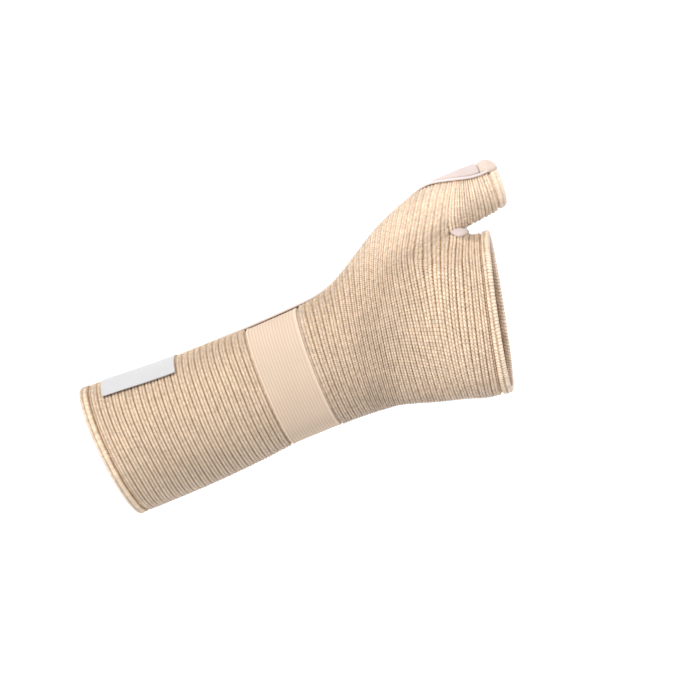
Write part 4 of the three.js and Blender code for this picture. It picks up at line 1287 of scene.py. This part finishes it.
def gusset():
    """A lens of cloth over the web, with a rolled rim and a sewn line inside it."""
    column = np.linspace(0, WEB_STEPS, 41)
    keys = []
    for away in GUSSET_KEYS:
        loop, station = ("thumb" if away < 0 else "palm"), CROTCH_STATION + abs(away)
        spot = column - GUSSET_SHIFT * smoothstep(away, 0, SHIFTED_AT) * (1 - column / WEB_STEPS)
        at = on_cloth(loop, web_q(loop, spot), station, base)
        past = np.clip(-spot / GUSSET_SHIFT, 0, 1)[:, None]
        out = web_outward(loop, np.maximum(spot, 0), station)
        out = unit(lerp(out, on_cloth(loop, web_q(loop, spot), station, normals), past))
        if away == 0:
            out = unit(out + web_outward("thumb", column, station))
        fill = np.full((len(column), 1), WEB_FILL if away == 0 else 1.0)
        keys.append(np.concatenate([at, out, fill], axis=1))
    across = 2 * column / WEB_STEPS - 1
    reach = GUSSET_TIPS + (1 - GUSSET_TIPS) * np.sqrt(np.maximum(1 - across**2, 0))
    reach = np.stack([-GUSSET_TO_THUMB * reach, GUSSET_TO_PALM * reach])
    away = lerp(reach[0], reach[1], np.linspace(0, 1, 45)[:, None])
    made = np.zeros((*away.shape, 7))
    for j in range(len(column)):
        for axis in range(7):
            made[:, j, axis] = natural_cubic(GUSSET_KEYS, [key[j, axis] for key in keys])(away[:, j])
    at, out, fill = made[..., :3], unit(made[..., 3:6]), made[..., 6]
    edge = np.minimum(np.minimum(away - reach[0], reach[1] - away), (1 - np.abs(across)) * 10 + 0.15)
    side = np.sqrt(np.clip(1 - (1 - np.clip(edge / 0.6, 0, 1)) ** 2, 0, 1))
    rim = RIM * np.exp(-(((edge - RIM_IN) / RIM_WIDE) ** 2))
    rim = rim - LINE * np.exp(-(((edge - LINE_IN) / LINE_WIDE) ** 2))
    low = fill * OVER_RIBS - 0.1
    high = low + 0.15 + (GUSSET_THICK - 0.15) * side + rim * side
    top, bottom = at + out * high[..., None], at + out * low[..., None]
    return slab("web_gusset_cloth", top, bottom, pocket_cloth, away, across * 9 + 0 * away)


place_piece(gusset(), ["web_gusset"])


# Stage: a pale floor far below the held-up support, soft lights, and the camera

VIEW_WIDTH, CAMERA_AWAY, SENSOR = 0.364, 2.2, 36
TILT, ROLL = math.radians(7), math.radians(22.4)
FLOOR_DROP, FLOOR_SIZE = 0.5, 12
KEY_AWAY, KEY_SIZE, KEY_WATTS = 1.4, 0.35, 10.5

aim_along = Vector((math.cos(TILT), 0, -math.sin(TILT)))
aim_across = Vector((0, 1, 0))
back = Vector((math.sin(TILT), 0, math.cos(TILT)))
right = math.cos(ROLL) * aim_along - math.sin(ROLL) * aim_across
up = math.sin(ROLL) * aim_along + math.cos(ROLL) * aim_across
centre = 0.03343 * aim_along + 0.00197 * aim_across

camera = bpy.data.objects.new("camera", bpy.data.cameras.new("camera"))
camera.data.sensor_width = SENSOR
camera.data.lens = SENSOR * CAMERA_AWAY / VIEW_WIDTH
camera.data.clip_end = 20
turned = Matrix((right, up, back)).transposed().to_4x4()
camera.matrix_world = Matrix.Translation(centre + back * CAMERA_AWAY) @ turned
bpy.context.scene.collection.objects.link(camera)
bpy.context.scene.camera = camera

bpy.ops.mesh.primitive_plane_add(size=FLOOR_SIZE, location=(0, 0, -FLOOR_DROP))
floor = bpy.context.object
floor.name = "floor"
paper = Nodes("paper_floor")
paper.shader.inputs["Base Color"].default_value = (0.9, 0.9, 0.9, 1)
paper.shader.inputs["Roughness"].default_value = 0.9
paper.shader.inputs["Emission Color"].default_value = (1, 1, 1, 1)
paper.shader.inputs["Emission Strength"].default_value = 0.25
floor.data.materials.append(paper.material)

world = bpy.data.worlds.new("white_room")
world.use_nodes = True
sky = world.node_tree.nodes["Background"]
sky.inputs["Color"].default_value = (0.93, 0.95, 1, 1)
sky.inputs["Strength"].default_value = 0.92
bpy.context.scene.world = world

key_light = bpy.data.lights.new("key", "AREA")
key_light.shape = "DISK"
key_light.size = KEY_SIZE
key_light.energy = KEY_WATTS
key = bpy.data.objects.new("key", key_light)
key_from = back * 1.0 + up * 0.75 - right * 0.5
key.location = centre + key_from.normalized() * KEY_AWAY
key.rotation_mode = "QUATERNION"
key.rotation_quaternion = key_from.to_track_quat("Z", "Y")
bpy.context.scene.collection.objects.link(key)

bpy.context.scene.view_settings.view_transform = "Standard"
